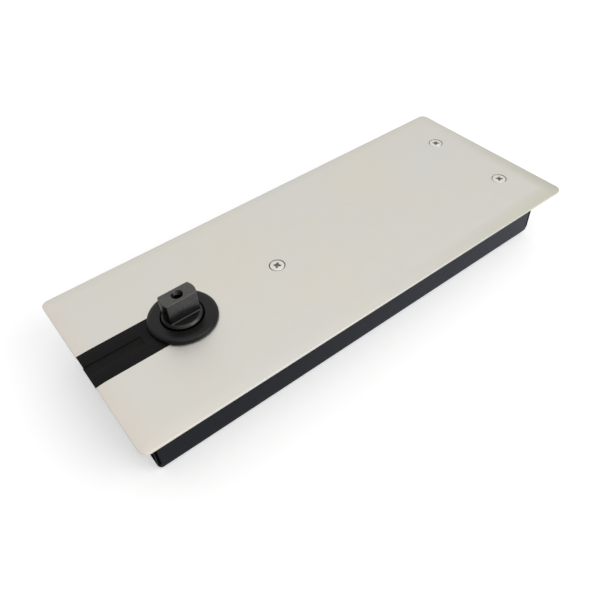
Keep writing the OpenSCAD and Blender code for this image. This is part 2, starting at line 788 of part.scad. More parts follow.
module lower_balls() {
    color([0.8, 0.81, 0.83]) for (i = [0 : balls - 1])
        translate([spindle_x, 0, ball_z]) rotate(i * 360 / balls) translate([ball_pitch, 0, 0])
            sphere(ball_d / 2, $fn = 48);
}

module lower_ball_cage() {
    color([0.72, 0.6, 0.35]) translate([spindle_x, 0, ball_z]) difference() {
        translate([0, 0, -cage_t]) ring(ball_pitch + cage_t, ball_pitch - cage_t, cage_h);
        for (i = [0 : balls - 1]) rotate(i * 360 / balls) translate([ball_pitch, 0, 0])
            sphere(ball_d / 2 + 0.1, $fn = 48);
    }
}

module needle_cup() {
    inner = cup_r - cup_t;
    lip_r = inner - needle_d + 0.8;
    color([0.7, 0.71, 0.73]) translate([spindle_x, 0, cup_z]) rotate_extrude()
        polygon([[lip_r, 0], [cup_r, 0], [cup_r, cup_h], [inner, cup_h], [inner, 0.3], [lip_r, 0.3]]);
}

module needles() {
    pitch_r = journal_d / 2 + run_gap + needle_d / 2;
    color([0.8, 0.81, 0.83]) for (i = [0 : needle_count - 1])
        translate([spindle_x, 0, cup_z + 0.5]) rotate(i * 360 / needle_count) translate([pitch_r, 0, 0])
            cylinder(needle_l, needle_d / 2, needle_d / 2, $fn = 32);
}

module spindle_seal() {
    lip = neck_d / 2 + run_gap;
    top = lid_top - 0.1 - seal_z;
    color([0.1, 0.1, 0.1]) translate([spindle_x, 0, seal_z]) rotate_extrude()
        polygon([[cup_r, 0], [cup_r, top], [lip + 1.2, top], [lip, top - 0.5], [lip, top - 0.9],
            [lip + 1.6, top - 1.1], [lip + 1.6, 0]]);
}

// ---- Follower, crosshead and piston ----

module follower_roller() {
    bevel = 0.5;
    r = roller_d / 2;
    bore = pin_d / 2 + run_gap;
    color([0.72, 0.73, 0.75]) translate([roller_x, 0, cam_mid - roller_h / 2]) rotate_extrude()
        polygon([[bore, 0], [r - bevel, 0], [r, bevel], [r, roller_h - bevel], [r - bevel, roller_h],
            [bore, roller_h]]);
}

module roller_pin() {
    l = fork_high + fork_t - fork_low;
    color([0.75, 0.76, 0.78]) translate([roller_x, 0, fork_low]) rotate_extrude()
        polygon([[0, 0], [pin_d / 2 - 0.4, 0], [pin_d / 2, 0.4], [pin_d / 2, l - 0.4],
            [pin_d / 2 - 0.4, l], [0, l]]);
}

module crosshead() {
    root_half = 2 * arm_r;
    top = fork_high + fork_t;
    color([0.48, 0.48, 0.49]) difference() {
        union() {
            translate([beam_x, -beam_half, beam_z]) cube([beam_t, 2 * beam_half, top - beam_z]);
            for (z = [fork_low, fork_high]) translate([0, 0, z]) linear_extrude(fork_t) {
                translate([roller_x, 0]) circle(arm_r);
                polygon([[roller_x, -arm_r], [beam_x + 1, -root_half], [beam_x + 1, root_half],
                    [roller_x, arm_r]]);
            }
        }
        translate([roller_x, 0, fork_low - 1])
            cylinder(top - fork_low + 2, pin_d / 2 + press_gap, pin_d / 2 + press_gap);
        for (s = [-1, 1]) {
            translate([beam_end - pocket_depth, s * spring_y, drive_z]) rod_x(pocket_r, pocket_depth + 1);
            translate([beam_x - 1, s * spring_y, drive_z]) rod_x(guide_d / 2 + guide_room, beam_t + 2);
        }
        translate([rod_root_x, 0, drive_z]) rod_x(rod_d / 2 + press_gap, beam_t);
    }
}

module piston() {
    head = bore_d / 2 - run_gap;
    r = rod_d / 2;
    face = head_x + head_l;
    room_x = seat_face;
    color([0.62, 0.63, 0.65]) translate([0, 0, drive_z]) difference() {
        rotate([0, 90, 0]) rotate_extrude() polygon([[0, rod_root_x], [r, rod_root_x], [r, head_x],
            [head - 1, head_x], [head - 1, head_x + relief_l], [head, head_x + relief_l],
            [head, ring_x], [head - ring_depth, ring_x], [head - ring_depth, ring_x + ring_w],
            [head, ring_x + ring_w], [head, face - 0.6], [head - 0.6, face], [0, face]]);
        translate([room_x, 0, 0]) rod_x(seat_r + press_gap, seat_l + 1);
        translate([ball_end_x, 0, 0]) rod_x(ball_room_r, room_x - ball_end_x + 0.1);
        translate([head_x + 2, 0, 0]) rod_x(2, ball_end_x - head_x);
        translate([head_x + 3, bore_d / 2, 0]) rotate([90, 0, 0]) cylinder(bore_d, 2, 2);
    }
}

module piston_ring() {
    head = bore_d / 2 - run_gap / 2;
    inner = bore_d / 2 - run_gap - ring_depth + 0.1;
    color([0.85, 0.85, 0.8]) translate([ring_x + 0.1, 0, drive_z]) rotate([0, 90, 0]) difference() {
        ring(head, inner, ring_w - 0.2);
        translate([0, -0.5, -1]) cube([bore_d, 1, ring_w + 2]);
    }
}

module check_valve_seat() {
    color([0.75, 0.65, 0.35]) translate([seat_face, 0, drive_z]) difference() {
        rod_x(seat_r, seat_l);
        translate([-1, 0, 0]) rod_x(ball_seat_d / 2, seat_l + 2);
        translate([seat_l - 1.5, -seat_r - 1, -0.8]) cube([3, 2 * seat_r + 2, 1.6]);
    }
}

module check_ball() {
    color([0.8, 0.81, 0.83]) translate([ball_x, 0, drive_z]) sphere(ball_check_d / 2, $fn = 64);
}

module rod_bush() {
    color([0.75, 0.62, 0.35]) translate([block_x, 0, drive_z]) rotate([0, 90, 0])
        ring(bush_r, rod_d / 2 + run_gap, gland_l);
}

// ---- Springs ----

// Place along the spring after t turns: closed end coils, open coils between them.
function coil_x(t) = wire_d / 2 + (wire_d + 0.1) * (min(t, closed_turns) + max(t - coils + closed_turns, 0))
    + open_pitch * (min(max(t - closed_turns, 0), coils - 2 * closed_turns));

// Points of the wire section after t turns.
function coil_ring(t, hand) = let (
    r = (spring_d - wire_d) / 2,
    a = 360 * t)
    [for (j = [0 : wire_sides - 1]) let (
        b = 360 * j / wire_sides,
        q = r + wire_d / 2 * cos(b))
        [coil_x(t) + wire_d / 2 * sin(b), hand * q * cos(a), q * sin(a)]];

module spring(hand) {
    points = [for (i = [0 : spring_rings]) each coil_ring(i / rings_per_turn, hand)];
    n = wire_sides;
    last = spring_rings * n;
    caps = [[for (j = [0 : n - 1]) n - 1 - j], [for (j = [0 : n - 1]) last + j]];
    sides = [for (i = [0 : spring_rings - 1], j = [0 : n - 1]) let (k = (j + 1) % n)
        [i * n + j, i * n + k, (i + 1) * n + k, (i + 1) * n + j]];
    tri = [for (f = sides) each [[f[0], f[1], f[2]], [f[0], f[2], f[3]]]];
    faces = concat(caps, tri);
    polyhedron(points, hand > 0 ? [for (f = faces) [for (k = [len(f) - 1 : -1 : 0]) f[k]]] : faces);
}

module left_spring() {
    color([0.55, 0.56, 0.58]) translate([spring_start, spring_y, drive_z]) spring(1);
}

module right_spring() {
    color([0.55, 0.56, 0.58]) translate([spring_start, -spring_y, drive_z]) spring(-1);
}

module guide_rods() {
    start = block_x + 4;
    color([0.65, 0.66, 0.68]) for (s = [-1, 1]) translate([start, s * spring_y, drive_z]) difference() {
        rod_x(guide_d / 2, wall_x + guide_thread - start);
        translate([-1, -0.6, -guide_d]) cube([2.5, 1.2, 2 * guide_d]);
    }
}

module spring_seats() {
    spigot_r = spring_d / 2 - wire_d - 0.2;
    color([0.58, 0.58, 0.6]) for (s = [-1, 1]) translate([spring_stop, s * spring_y, drive_z]) difference() {
        union() {
            rod_x(spring_d / 2 - 0.3, seat_disc_t);
            translate([-spigot_l, 0, 0]) rod_x(spigot_r, spigot_l + 0.1);
        }
        translate([-spigot_l - 1, 0, 0]) rod_x(guide_d / 2 + 0.1, spigot_l + seat_disc_t + 2);
    }
}

// ---- Cylinder plug, valves, filler ----

module cylinder_plug() {
    start = body_end - plug_l;
    color([0.6, 0.61, 0.63]) translate([0, 0, drive_z]) difference() {
        rotate([0, 90, 0]) rotate_extrude() polygon([[0, start + 0.1], [plug_r, start + 0.1],
            [plug_r, plug_groove_x], [plug_r - 1.8, plug_groove_x],
            [plug_r - 1.8, plug_groove_x + plug_groove], [plug_r, plug_groove_x + plug_groove],
            [plug_r, body_end - 0.8], [plug_r - 0.8, body_end], [0, body_end]]);
        translate([body_end - 8, 0, 0]) rotate([0, 90, 0]) hexagon(7, 10);
    }
}

module plug_o_ring() {
    r = 0.9;
    color([0.08, 0.08, 0.08]) translate([plug_groove_x + plug_groove / 2, 0, drive_z]) rotate([0, 90, 0])
        rotate_extrude() translate([plug_r - r + run_gap / 2, 0]) circle(r, $fn = 32);
}

// Speed valve: slotted head, groove for the O-ring, stem and conical tip.
module valve() {
    r = valve_d / 2;
    tip = valve_floor + 1;
    top = lid_top - 0.3;
    difference() {
        rotate_extrude() polygon([[0, tip], [0.8, tip], [r - 1.2, tip + 4],
            [r - 1.2, groove_z - 4], [r, groove_z - 2.5], [r, groove_z], [r - groove_depth, groove_z],
            [r - groove_depth, groove_z + groove_h], [r, groove_z + groove_h], [r, top - 0.4],
            [r - 0.4, top], [0, top]]);
        translate([-r - 1, -0.6, top - 1.6]) cube([2 * r + 2, 1.2, 3]);
    }
}

module closing_valve() {
    color([0.78, 0.66, 0.36]) translate([valve_x, valve_y, 0]) valve();
}

module latching_valve() {
    color([0.78, 0.66, 0.36]) translate([valve_x, -valve_y, 0]) valve();
}

module valve_o_rings() {
    r = 0.7;
    color([0.08, 0.08, 0.08]) for (s = [-1, 1]) translate([valve_x, s * valve_y, groove_z + groove_h / 2])
        rotate_extrude() translate([valve_d / 2 - r + run_gap / 2, 0]) circle(r, $fn = 32);
}

module filler_screw() {
    color([0.66, 0.67, 0.69]) translate([filler_x, filler_y, 0]) difference() {
        union() {
            translate([0, 0, lid_z + 0.2]) cylinder(lid_t + filler_seal_t, filler_d / 2, filler_d / 2);
            translate([0, 0, lid_top + filler_seal_t]) cylinder(1, filler_d / 2 + 2, filler_d / 2 + 2);
        }
        translate([0, 0, lid_z + 1.5]) hexagon(2.9, 10);
    }
}

module filler_seal() {
    color([0.7, 0.45, 0.3]) translate([filler_x, filler_y, lid_top])
        ring(filler_d / 2 + 1.8, filler_d / 2 + 0.2, filler_seal_t);
}

module gallery_plugs() {
    color([0.6, 0.6, 0.6]) for (p = gallery_ends()) translate(p[0]) rotate(p[1]) difference() {
        translate([0, 0, -gallery_plug_l]) cylinder(gallery_plug_l, gallery_plug_r - press_gap,
            gallery_plug_r - press_gap);
        translate([0, 0, -2.5]) hexagon(1.4, 3);
    }
}

cover_plate();
cover_screws();
slot_insert();
collar_ring();
cement_box();
box_weld_nuts();
plate_bracket();
levelling_bushes();
clamp_bolts();
clamp_washers();
body_casting();
body_gasket();
body_lid();
lid_screws();
spindle();
cam();
cam_key();
thrust_washer();
lower_outer_race();
lower_inner_race();
lower_balls();
lower_ball_cage();
needle_cup();
needles();
spindle_seal();
follower_roller();
roller_pin();
crosshead();
piston();
piston_ring();
check_valve_seat();
check_ball();
rod_bush();
left_spring();
right_spring();
guide_rods();
spring_seats();
cylinder_plug();
plug_o_ring();
closing_valve();
latching_valve();
valve_o_rings();
filler_screw();
filler_seal();
gallery_plugs();
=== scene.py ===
"""Shallow floor spring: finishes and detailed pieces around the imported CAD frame, in metres."""
import math

import bmesh
import bpy
from mathutils import Matrix, Vector


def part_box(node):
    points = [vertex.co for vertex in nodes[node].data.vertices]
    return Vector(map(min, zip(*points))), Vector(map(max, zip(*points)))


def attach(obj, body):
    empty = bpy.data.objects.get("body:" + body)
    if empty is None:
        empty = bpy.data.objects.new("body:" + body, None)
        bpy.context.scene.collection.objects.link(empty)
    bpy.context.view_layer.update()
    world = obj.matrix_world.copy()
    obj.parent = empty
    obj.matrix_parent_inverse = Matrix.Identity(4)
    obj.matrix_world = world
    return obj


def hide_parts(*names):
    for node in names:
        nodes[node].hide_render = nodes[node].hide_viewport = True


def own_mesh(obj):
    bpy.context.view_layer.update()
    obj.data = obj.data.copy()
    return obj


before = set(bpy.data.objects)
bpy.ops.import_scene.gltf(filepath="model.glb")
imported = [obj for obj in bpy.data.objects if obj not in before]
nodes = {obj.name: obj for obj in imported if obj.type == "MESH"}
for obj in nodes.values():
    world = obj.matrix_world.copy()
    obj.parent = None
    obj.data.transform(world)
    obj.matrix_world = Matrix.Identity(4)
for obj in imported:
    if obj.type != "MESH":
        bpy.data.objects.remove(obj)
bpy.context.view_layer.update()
MM = 0.001
ON_AXIS = 1e-6


# ---- Making meshes ----

def piece(name, bm, sharp=32):
    """An object from a bmesh, with smooth faces up to a sharp angle in degrees."""
    mesh = bpy.data.meshes.new(name)
    bmesh.ops.recalc_face_normals(bm, faces=bm.faces)
    bm.to_mesh(mesh)
    bm.free()
    obj = bpy.data.objects.new(name, mesh)
    bpy.context.scene.collection.objects.link(obj)
    soften(obj, sharp)
    return obj


def soften(obj, sharp=32):
    """Smooth shading that stops at edges sharper than the angle."""
    mesh = obj.data
    mesh.polygons.foreach_set("use_smooth", [True] * len(mesh.polygons))
    mesh.set_sharp_from_angle(angle=math.radians(sharp))


def settle(obj, sharp=32):
    """Keeps what the modifiers make as the mesh itself."""
    shaped = obj.evaluated_get(bpy.context.evaluated_depsgraph_get())
    mesh = bpy.data.meshes.new_from_object(shaped)
    obj.modifiers.clear()
    spent, obj.data = obj.data, mesh
    bpy.data.meshes.remove(spent)
    soften(obj, sharp)
    return obj


def combine(obj, others, operation):
    """Cuts the others out of obj, or joins them to it, and takes them away."""
    for other in others:
        step = obj.modifiers.new("step", "BOOLEAN")
        step.operation, step.solver, step.object = operation, "EXACT", other
    settle(obj)
    for other in others:
        bpy.data.objects.remove(other)
    return obj


def gather(obj, others):
    """Puts the others into the same mesh as obj, as closed solids that meet it."""
    bm = bmesh.new()
    for part in [obj] + others:
        bm.from_mesh(part.data)
    bm.to_mesh(obj.data)
    bm.free()
    for other in others:
        bpy.data.objects.remove(other)
    soften(obj)
    return obj


def dress_edges(obj, width, segments=2, angle=40):
    """Rounds the edges that are sharper than the angle."""
    step = obj.modifiers.new("edges", "BEVEL")
    step.width, step.segments, step.limit_method = width, segments, "ANGLE"
    step.angle_limit = math.radians(angle)
    step.harden_normals = False
    return settle(obj)


def bridge(bm, lower, upper):
    """Faces between two closed loops with the same count of points."""
    n = len(lower)
    for i in range(n):
        bm.faces.new((lower[i], lower[(i + 1) % n], upper[(i + 1) % n], upper[i]))


def turned(name, profile, centre, segments=128, sharp=32):
    """A piece turned from a closed profile of (radius, height) in millimetres round an upright axis."""
    bm = bmesh.new()
    rings = []
    for radius, height in profile:
        if radius < ON_AXIS:
            rings.append([bm.verts.new((0, 0, height * MM))])
            continue
        rings.append([bm.verts.new((radius * MM * math.cos(a), radius * MM * math.sin(a), height * MM))
                      for a in (2 * math.pi * i / segments for i in range(segments))])
    closed = profile[0][0] > ON_AXIS and profile[-1][0] > ON_AXIS
    pairs = list(zip(rings, rings[1:])) + ([(rings[-1], rings[0])] if closed else [])
    for a, b in pairs:
        if len(a) == 1 and len(b) == 1:
            continue
        if len(a) == 1 or len(b) == 1:
            tip, ring = (a[0], b) if len(a) == 1 else (b[0], a)
            for i in range(segments):
                bm.faces.new((tip, ring[i], ring[(i + 1) % segments]))
        else:
            bridge(bm, a, b)
    bm.transform(Matrix.Translation(Vector(centre)))
    return piece(name, bm, sharp)


def block(name, low, high):
    """A plain block between two corners, as a cutter or a start for a dressed piece."""
    bm = bmesh.new()
    bmesh.ops.create_cube(bm, size=1)
    low, high = Vector(low), Vector(high)
    for v in bm.verts:
        v.co = Vector(((low[i] + high[i]) / 2 + v.co[i] * (high[i] - low[i])) for i in range(3))
    return piece(name, bm)


def prism(name, outline, low, high):
    """A straight prism over an outline of (x, y)."""
    bm = bmesh.new()
    bottom = [bm.verts.new((x, y, low)) for x, y in outline]
    top = [bm.verts.new((x, y, high)) for x, y in outline]
    bridge(bm, bottom, top)
    bm.faces.new(bottom[::-1])
    bm.faces.new(top)
    return piece(name, bm)


def round_loop(length, width, radius, corner_points=12):
    """Points of a rectangle with round corners."""
    points = []
    corners = [(1, 1, 0), (-1, 1, 90), (-1, -1, 180), (1, -1, 270)]
    for sx, sy, start in corners:
        cx, cy = sx * (length / 2 - radius), sy * (width / 2 - radius)
        for i in range(corner_points + 1):
            a = math.radians(start + 90 * i / corner_points)
            points.append((cx + radius * math.cos(a), cy + radius * math.sin(a)))
    return points


# ---- Places and sizes, from the frame ----

plate_low, plate_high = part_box("cover_plate")
spindle_low, spindle_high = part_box("spindle")
collar_low, collar_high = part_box("collar_ring")
insert_low, insert_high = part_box("slot_insert")
shell_low, shell_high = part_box("cement_box")
screws_low, screws_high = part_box("cover_screws")
PLATE_TOP = plate_high.z
BOX_BEND = 6.5 * MM
SIDE_BEND = 3.4 * MM
AXIS_X = (collar_low.x + collar_high.x) / 2
SCREW_R = 4.65 * MM
SCREW_PLACES = [(screws_low.x + SCREW_R, 0.0), (screws_high.x - SCREW_R, screws_high.y - SCREW_R),
                (screws_high.x - SCREW_R, screws_low.y + SCREW_R)]


# ---- Shared effects ----

def effect(name, inputs, outputs):
    """A shader group with named number inputs, and outputs given as (name, socket type)."""
    tree = bpy.data.node_groups.new(name, "ShaderNodeTree")
    for socket, value in inputs:
        tree.interface.new_socket(socket, in_out="INPUT", socket_type="NodeSocketFloat").default_value = value
    for socket, kind in outputs:
        tree.interface.new_socket(socket, in_out="OUTPUT", socket_type=kind)
    return tree, tree.nodes.new("NodeGroupInput"), tree.nodes.new("NodeGroupOutput")


def maths(tree, operation, a, b=None, clamp=False):
    """A math node fed by sockets or numbers."""
    node = tree.nodes.new("ShaderNodeMath")
    node.operation, node.use_clamp = operation, clamp
    for socket, value in zip(node.inputs, (a, b)):
        if value is None:
            continue
        if isinstance(value, (int, float)):
            socket.default_value = value
        else:
            tree.links.new(value, socket)
    return node.outputs[0]


def on_object(tree):
    """Places on the piece itself, in metres."""
    return tree.nodes.new("ShaderNodeTexCoord").outputs["Object"]


def axes_of(tree, place):
    """The X, Y and Z of a place, as outputs."""
    apart = tree.nodes.new("ShaderNodeSeparateXYZ")
    tree.links.new(place, apart.inputs[0])
    return apart.outputs


def noise(tree, vector, scale, detail=4.0, rough=0.5):
    """The value of a noise texture. Its scale is a number or a socket."""
    node = tree.nodes.new("ShaderNodeTexNoise")
    node.inputs["Detail"].default_value = detail
    node.inputs["Roughness"].default_value = rough
    tree.links.new(vector, node.inputs["Vector"])
    if isinstance(scale, (int, float)):
        node.inputs["Scale"].default_value = scale
    else:
        tree.links.new(scale, node.inputs["Scale"])
    return node.outputs[0]


def spread(tree, value, low, high):
    """Stretches the part of value between low and high over 0 to 1."""
    node = tree.nodes.new("ShaderNodeMapRange")
    node.inputs["From Min"].default_value = low
    node.inputs["From Max"].default_value = high
    tree.links.new(value, node.inputs["Value"])
    return node.outputs[0]


def blend_colours(tree, factor, first, second):
    """Mixes two colours, each a socket or a colour, by a factor."""
    node = tree.nodes.new("ShaderNodeMix")
    node.data_type = "RGBA"
    tree.links.new(factor, node.inputs["Factor"])
    for socket, colour in ((node.inputs[6], first), (node.inputs[7], second)):
        if isinstance(colour, tuple):
            socket.default_value = (*colour, 1)
        else:
            tree.links.new(colour, socket)
    return node.outputs[2]


def make_clouds():
    """Slow unevenness of a finish, and its finer mottling."""
    tree, given, made = effect("clouded_finish", [("Size", 0.06), ("Mottle Size", 0.008)],
                               [("Clouds", "NodeSocketFloat"), ("Mottling", "NodeSocketFloat")])
    place = on_object(tree)
    clouds = noise(tree, place, maths(tree, "DIVIDE", 1.0, given.outputs["Size"]), 3, 0.5)
    mottle = noise(tree, place, maths(tree, "DIVIDE", 1.0, given.outputs["Mottle Size"]), 3, 0.55)
    tree.links.new(spread(tree, clouds, 0.3, 0.7), made.inputs["Clouds"])
    tree.links.new(spread(tree, mottle, 0.3, 0.7), made.inputs["Mottling"])
    return tree


def make_grain():
    """Even fine grain, as of a blasted, cast or spark-eroded surface."""
    tree, given, made = effect("fine_grain", [("Grain Size", 0.0004)],
                               [("Height", "NodeSocketFloat"), ("Pits", "NodeSocketFloat")])
    place = on_object(tree)
    grain = noise(tree, place, maths(tree, "DIVIDE", 1.0, given.outputs["Grain Size"]), 2, 0.6)
    tree.links.new(grain, made.inputs["Height"])
    tree.links.new(spread(tree, grain, 0.56, 0.66), made.inputs["Pits"])
    return tree


def make_lay():
    """Fine lines left by brushing or grinding, along a stretched direction."""
    tree, given, made = effect("tool_lay", [("Across X", 40.0), ("Across Y", 4000.0), ("Across Z", 4000.0)],
                               [("Lines", "NodeSocketFloat")])
    place = on_object(tree)
    stretch = tree.nodes.new("ShaderNodeCombineXYZ")
    for i, axis in enumerate("XYZ"):
        tree.links.new(given.outputs["Across " + axis], stretch.inputs[i])
    scaled = tree.nodes.new("ShaderNodeVectorMath")
    scaled.operation = "MULTIPLY"
    tree.links.new(place, scaled.inputs[0])
    tree.links.new(stretch.outputs[0], scaled.inputs[1])
    tree.links.new(noise(tree, scaled.outputs[0], 1.0, 3, 0.6), made.inputs["Lines"])
    return tree


def make_edge_wear():
    """Where handling rubs an edge bright: one where the edge is worn, and zero on the flats."""
    tree, given, made = effect("edge_wear", [("Width", 0.0005), ("Breakup Size", 0.003), ("Amount", 1.0)],
                               [("Worn", "NodeSocketFloat")])
    rounded = tree.nodes.new("ShaderNodeBevel")
    rounded.samples = 6
    tree.links.new(given.outputs["Width"], rounded.inputs["Radius"])
    facing = tree.nodes.new("ShaderNodeNewGeometry").outputs["Normal"]
    dot = tree.nodes.new("ShaderNodeVectorMath")
    dot.operation = "DOT_PRODUCT"
    tree.links.new(rounded.outputs[0], dot.inputs[0])
    tree.links.new(facing, dot.inputs[1])
    bend = maths(tree, "SUBTRACT", 1.0, dot.outputs["Value"], clamp=True)
    place = on_object(tree)
    broken = noise(tree, place, maths(tree, "DIVIDE", 1.0, given.outputs["Breakup Size"]), 3, 0.6)
    worn = maths(tree, "MULTIPLY", spread(tree, bend, 0.01, 0.12), spread(tree, broken, 0.3, 0.55))
    tree.links.new(maths(tree, "MULTIPLY", worn, given.outputs["Amount"], clamp=True), made.inputs["Worn"])
    return tree


def make_gap_shade_ring():
    """Painted shade in a round gap: a mask between two radii round an upright axis, heavier on one side."""
    tree, given, made = effect("gap_shade_ring", [("Centre X", 0.0), ("Centre Y", 0.0), ("Inner", 0.004),
                                              ("Outer", 0.005), ("Amount", 1.0)], [("Gap Shade", "NodeSocketFloat")])
    place = on_object(tree)
    axes = axes_of(tree, place)
    x = maths(tree, "SUBTRACT", axes["X"], given.outputs["Centre X"])
    y = maths(tree, "SUBTRACT", axes["Y"], given.outputs["Centre Y"])
    r = maths(tree, "SQRT", maths(tree, "ADD", maths(tree, "MULTIPLY", x, x), maths(tree, "MULTIPLY", y, y)))
    gap = maths(tree, "SUBTRACT", given.outputs["Outer"], given.outputs["Inner"])
    along = maths(tree, "DIVIDE", maths(tree, "SUBTRACT", r, given.outputs["Inner"]), gap, clamp=True)
    hump = maths(tree, "MULTIPLY", along, maths(tree, "SUBTRACT", 1.0, along))
    hump = maths(tree, "MULTIPLY", hump, 6.0, clamp=True)
    side = maths(tree, "DIVIDE", maths(tree, "ADD", x, y), given.outputs["Outer"])
    heavy = maths(tree, "SUBTRACT", 0.72, maths(tree, "MULTIPLY", side, 0.25), clamp=True)
    patchy = maths(tree, "ADD", maths(tree, "MULTIPLY", noise(tree, place, 900.0, 2), 0.7), 0.55)
    painted_shade = maths(tree, "MULTIPLY", maths(tree, "MULTIPLY", hump, heavy), patchy)
    tree.links.new(maths(tree, "MULTIPLY", painted_shade, given.outputs["Amount"], clamp=True), made.inputs["Gap Shade"])
    return tree


def make_shade_below():
    """Mask for painted shade below a level: one well under it, fading to zero above."""
    tree, given, made = effect("shade_below_level", [("Level", 0.04), ("Fade", 0.0003)], [("Shade Below", "NodeSocketFloat")])
    depth = maths(tree, "SUBTRACT", given.outputs["Level"], axes_of(tree, on_object(tree))["Z"])
    tree.links.new(maths(tree, "DIVIDE", depth, given.outputs["Fade"], clamp=True), made.inputs["Shade Below"])
    return tree


def make_edge_band():
    """A soft band along one edge of a flat part, fading in along that edge, as masks for tone."""
    tree, given, made = effect("edge_band", [("Normal X", 0.0), ("Normal Y", -1.0), ("Edge", 0.06), ("Band", 0.009),
                                             ("Along X", 0.0), ("Along Y", 0.0), ("Start", 0.0)],
                               [("Band", "NodeSocketFloat")])
    place = on_object(tree)
    axes = axes_of(tree, place)

    def dot(first, second):
        """How far a place lies along the direction given by two inputs."""
        return maths(tree, "ADD", maths(tree, "MULTIPLY", axes["X"], given.outputs[first]),
                     maths(tree, "MULTIPLY", axes["Y"], given.outputs[second]))

    depth = maths(tree, "SUBTRACT", given.outputs["Edge"], dot("Normal X", "Normal Y"))
    near = maths(tree, "SUBTRACT", 1.0, maths(tree, "DIVIDE", depth, given.outputs["Band"], clamp=True))
    soft = maths(tree, "MULTIPLY", near, maths(tree, "SUBTRACT", 2.0, near))
    along = maths(tree, "ADD", dot("Along X", "Along Y"), given.outputs["Start"])
    patchy = maths(tree, "ADD", maths(tree, "MULTIPLY", noise(tree, place, 70.0, 3), 0.5), 0.75)
    both = maths(tree, "MULTIPLY", soft, maths(tree, "MULTIPLY", along, 1.0, clamp=True))
    tree.links.new(maths(tree, "MULTIPLY", both, patchy, clamp=True), made.inputs["Band"])
    return tree


CLOUDS, GRAIN, LAY, WEAR = make_clouds(), make_grain(), make_lay(), make_edge_wear()
# The round gap mask and the below-level mask paint shade into colour.
GAP_SHADE, SHADE_BELOW, BAND = make_gap_shade_ring(), make_shade_below(), make_edge_band()


class Finish:
    """A material under construction, with its shader and the shared effects it places."""

    def __init__(self, name, base, metallic, roughness, specular=0.5):
        self.material = bpy.data.materials.new(name)
        self.material.use_nodes = True
        self.tree = self.material.node_tree
        self.shader = self.tree.nodes["Principled BSDF"]
        self.material.diffuse_color = (*base, 1)
        self.shader.inputs["Base Color"].default_value = (*base, 1)
        self.shader.inputs["Metallic"].default_value = metallic
        self.shader.inputs["Roughness"].default_value = roughness
        self.shader.inputs["Specular IOR Level"].default_value = specular

    def place(self, group, **values):
        """Places a shared effect with its own values."""
        node = self.tree.nodes.new("ShaderNodeGroup")
        node.node_tree = group
        for name, value in values.items():
            node.inputs[name.replace("_", " ")].default_value = value
        return node.outputs

    def colour(self, socket):
        """Base colour from a socket."""
        self.tree.links.new(socket, self.shader.inputs["Base Color"])

    def roughness(self, value, low, high):
        """Roughness that runs from low to high with a mask."""
        node = self.tree.nodes.new("ShaderNodeMapRange")
        node.inputs["To Min"].default_value = low
        node.inputs["To Max"].default_value = high
        self.tree.links.new(value, node.inputs["Value"])
        self.tree.links.new(node.outputs[0], self.shader.inputs["Roughness"])

    def relief(self, height, depth):
        """Bump from a height mask, with its real depth in metres."""
        node = self.tree.nodes.new("ShaderNodeBump")
        node.inputs["Strength"].default_value = 1.0
        node.inputs["Distance"].default_value = depth
        self.tree.links.new(height, node.inputs["Height"])
        if self.shader.inputs["Normal"].is_linked:
            self.tree.links.new(self.shader.inputs["Normal"].links[0].from_socket, node.inputs["Normal"])
        self.tree.links.new(node.outputs[0], self.shader.inputs["Normal"])


def satin_stainless():
    """Cover plate: satin stainless, faintly clouded from handling, with painted shade in the screw seats and painted
    reflection in bands along its rim.
    """
    f = Finish("satin_stainless", (0.69, 0.66, 0.60), 1.0, 0.42)
    clouds = f.place(CLOUDS, Size=0.055, Mottle_Size=0.009)
    warm = blend_colours(f.tree, clouds["Clouds"], (0.708, 0.668, 0.588), (0.675, 0.670, 0.632))
    colour = blend_colours(f.tree, maths(f.tree, "MULTIPLY", clouds["Mottling"], 0.45), warm,
                           (0.74, 0.715, 0.665))
    # Painted reflection on the rim: darker yellowish bands along the front and right edges and a paler pinkish band
    # along the left edge, where the sloping rim reflects the horizon.
    front = f.place(BAND, Normal_X=0.0, Normal_Y=-1.0, Edge=plate_high.y, Band=0.011, Along_X=4.5, Start=0.1)["Band"]
    right = f.place(BAND, Normal_X=1.0, Normal_Y=0.0, Edge=plate_high.x, Band=0.011, Along_Y=-9.0, Start=0.35)["Band"]
    left = f.place(BAND, Normal_X=-1.0, Normal_Y=0.0, Edge=plate_high.x, Band=0.012, Start=0.7)["Band"]
    colour = blend_colours(f.tree, front, colour, (0.60, 0.585, 0.485))
    colour = blend_colours(f.tree, right, colour, (0.575, 0.56, 0.47))
    colour = blend_colours(f.tree, left, colour, (0.72, 0.662, 0.60))
    # Painted shade in the gap round each screw head, heaviest at the near screw.
    for (x, y), amount in zip(SCREW_PLACES, (0.55, 0.2, 0.2)):
        painted_shade = f.place(GAP_SHADE, Centre_X=x, Centre_Y=y, Inner=0.0042, Outer=0.0052, Amount=amount)["Gap Shade"]
        colour = blend_colours(f.tree, painted_shade, colour, (0.13, 0.115, 0.09))
    f.colour(colour)
    f.roughness(clouds["Mottling"], 0.38, 0.47)
    lay = f.place(LAY, Across_X=25.0, Across_Y=2600.0, Across_Z=2600.0)
    f.relief(lay["Lines"], 0.000004)
    f.relief(f.place(GRAIN, Grain_Size=0.0009)["Height"], 0.000006)
    return f.material


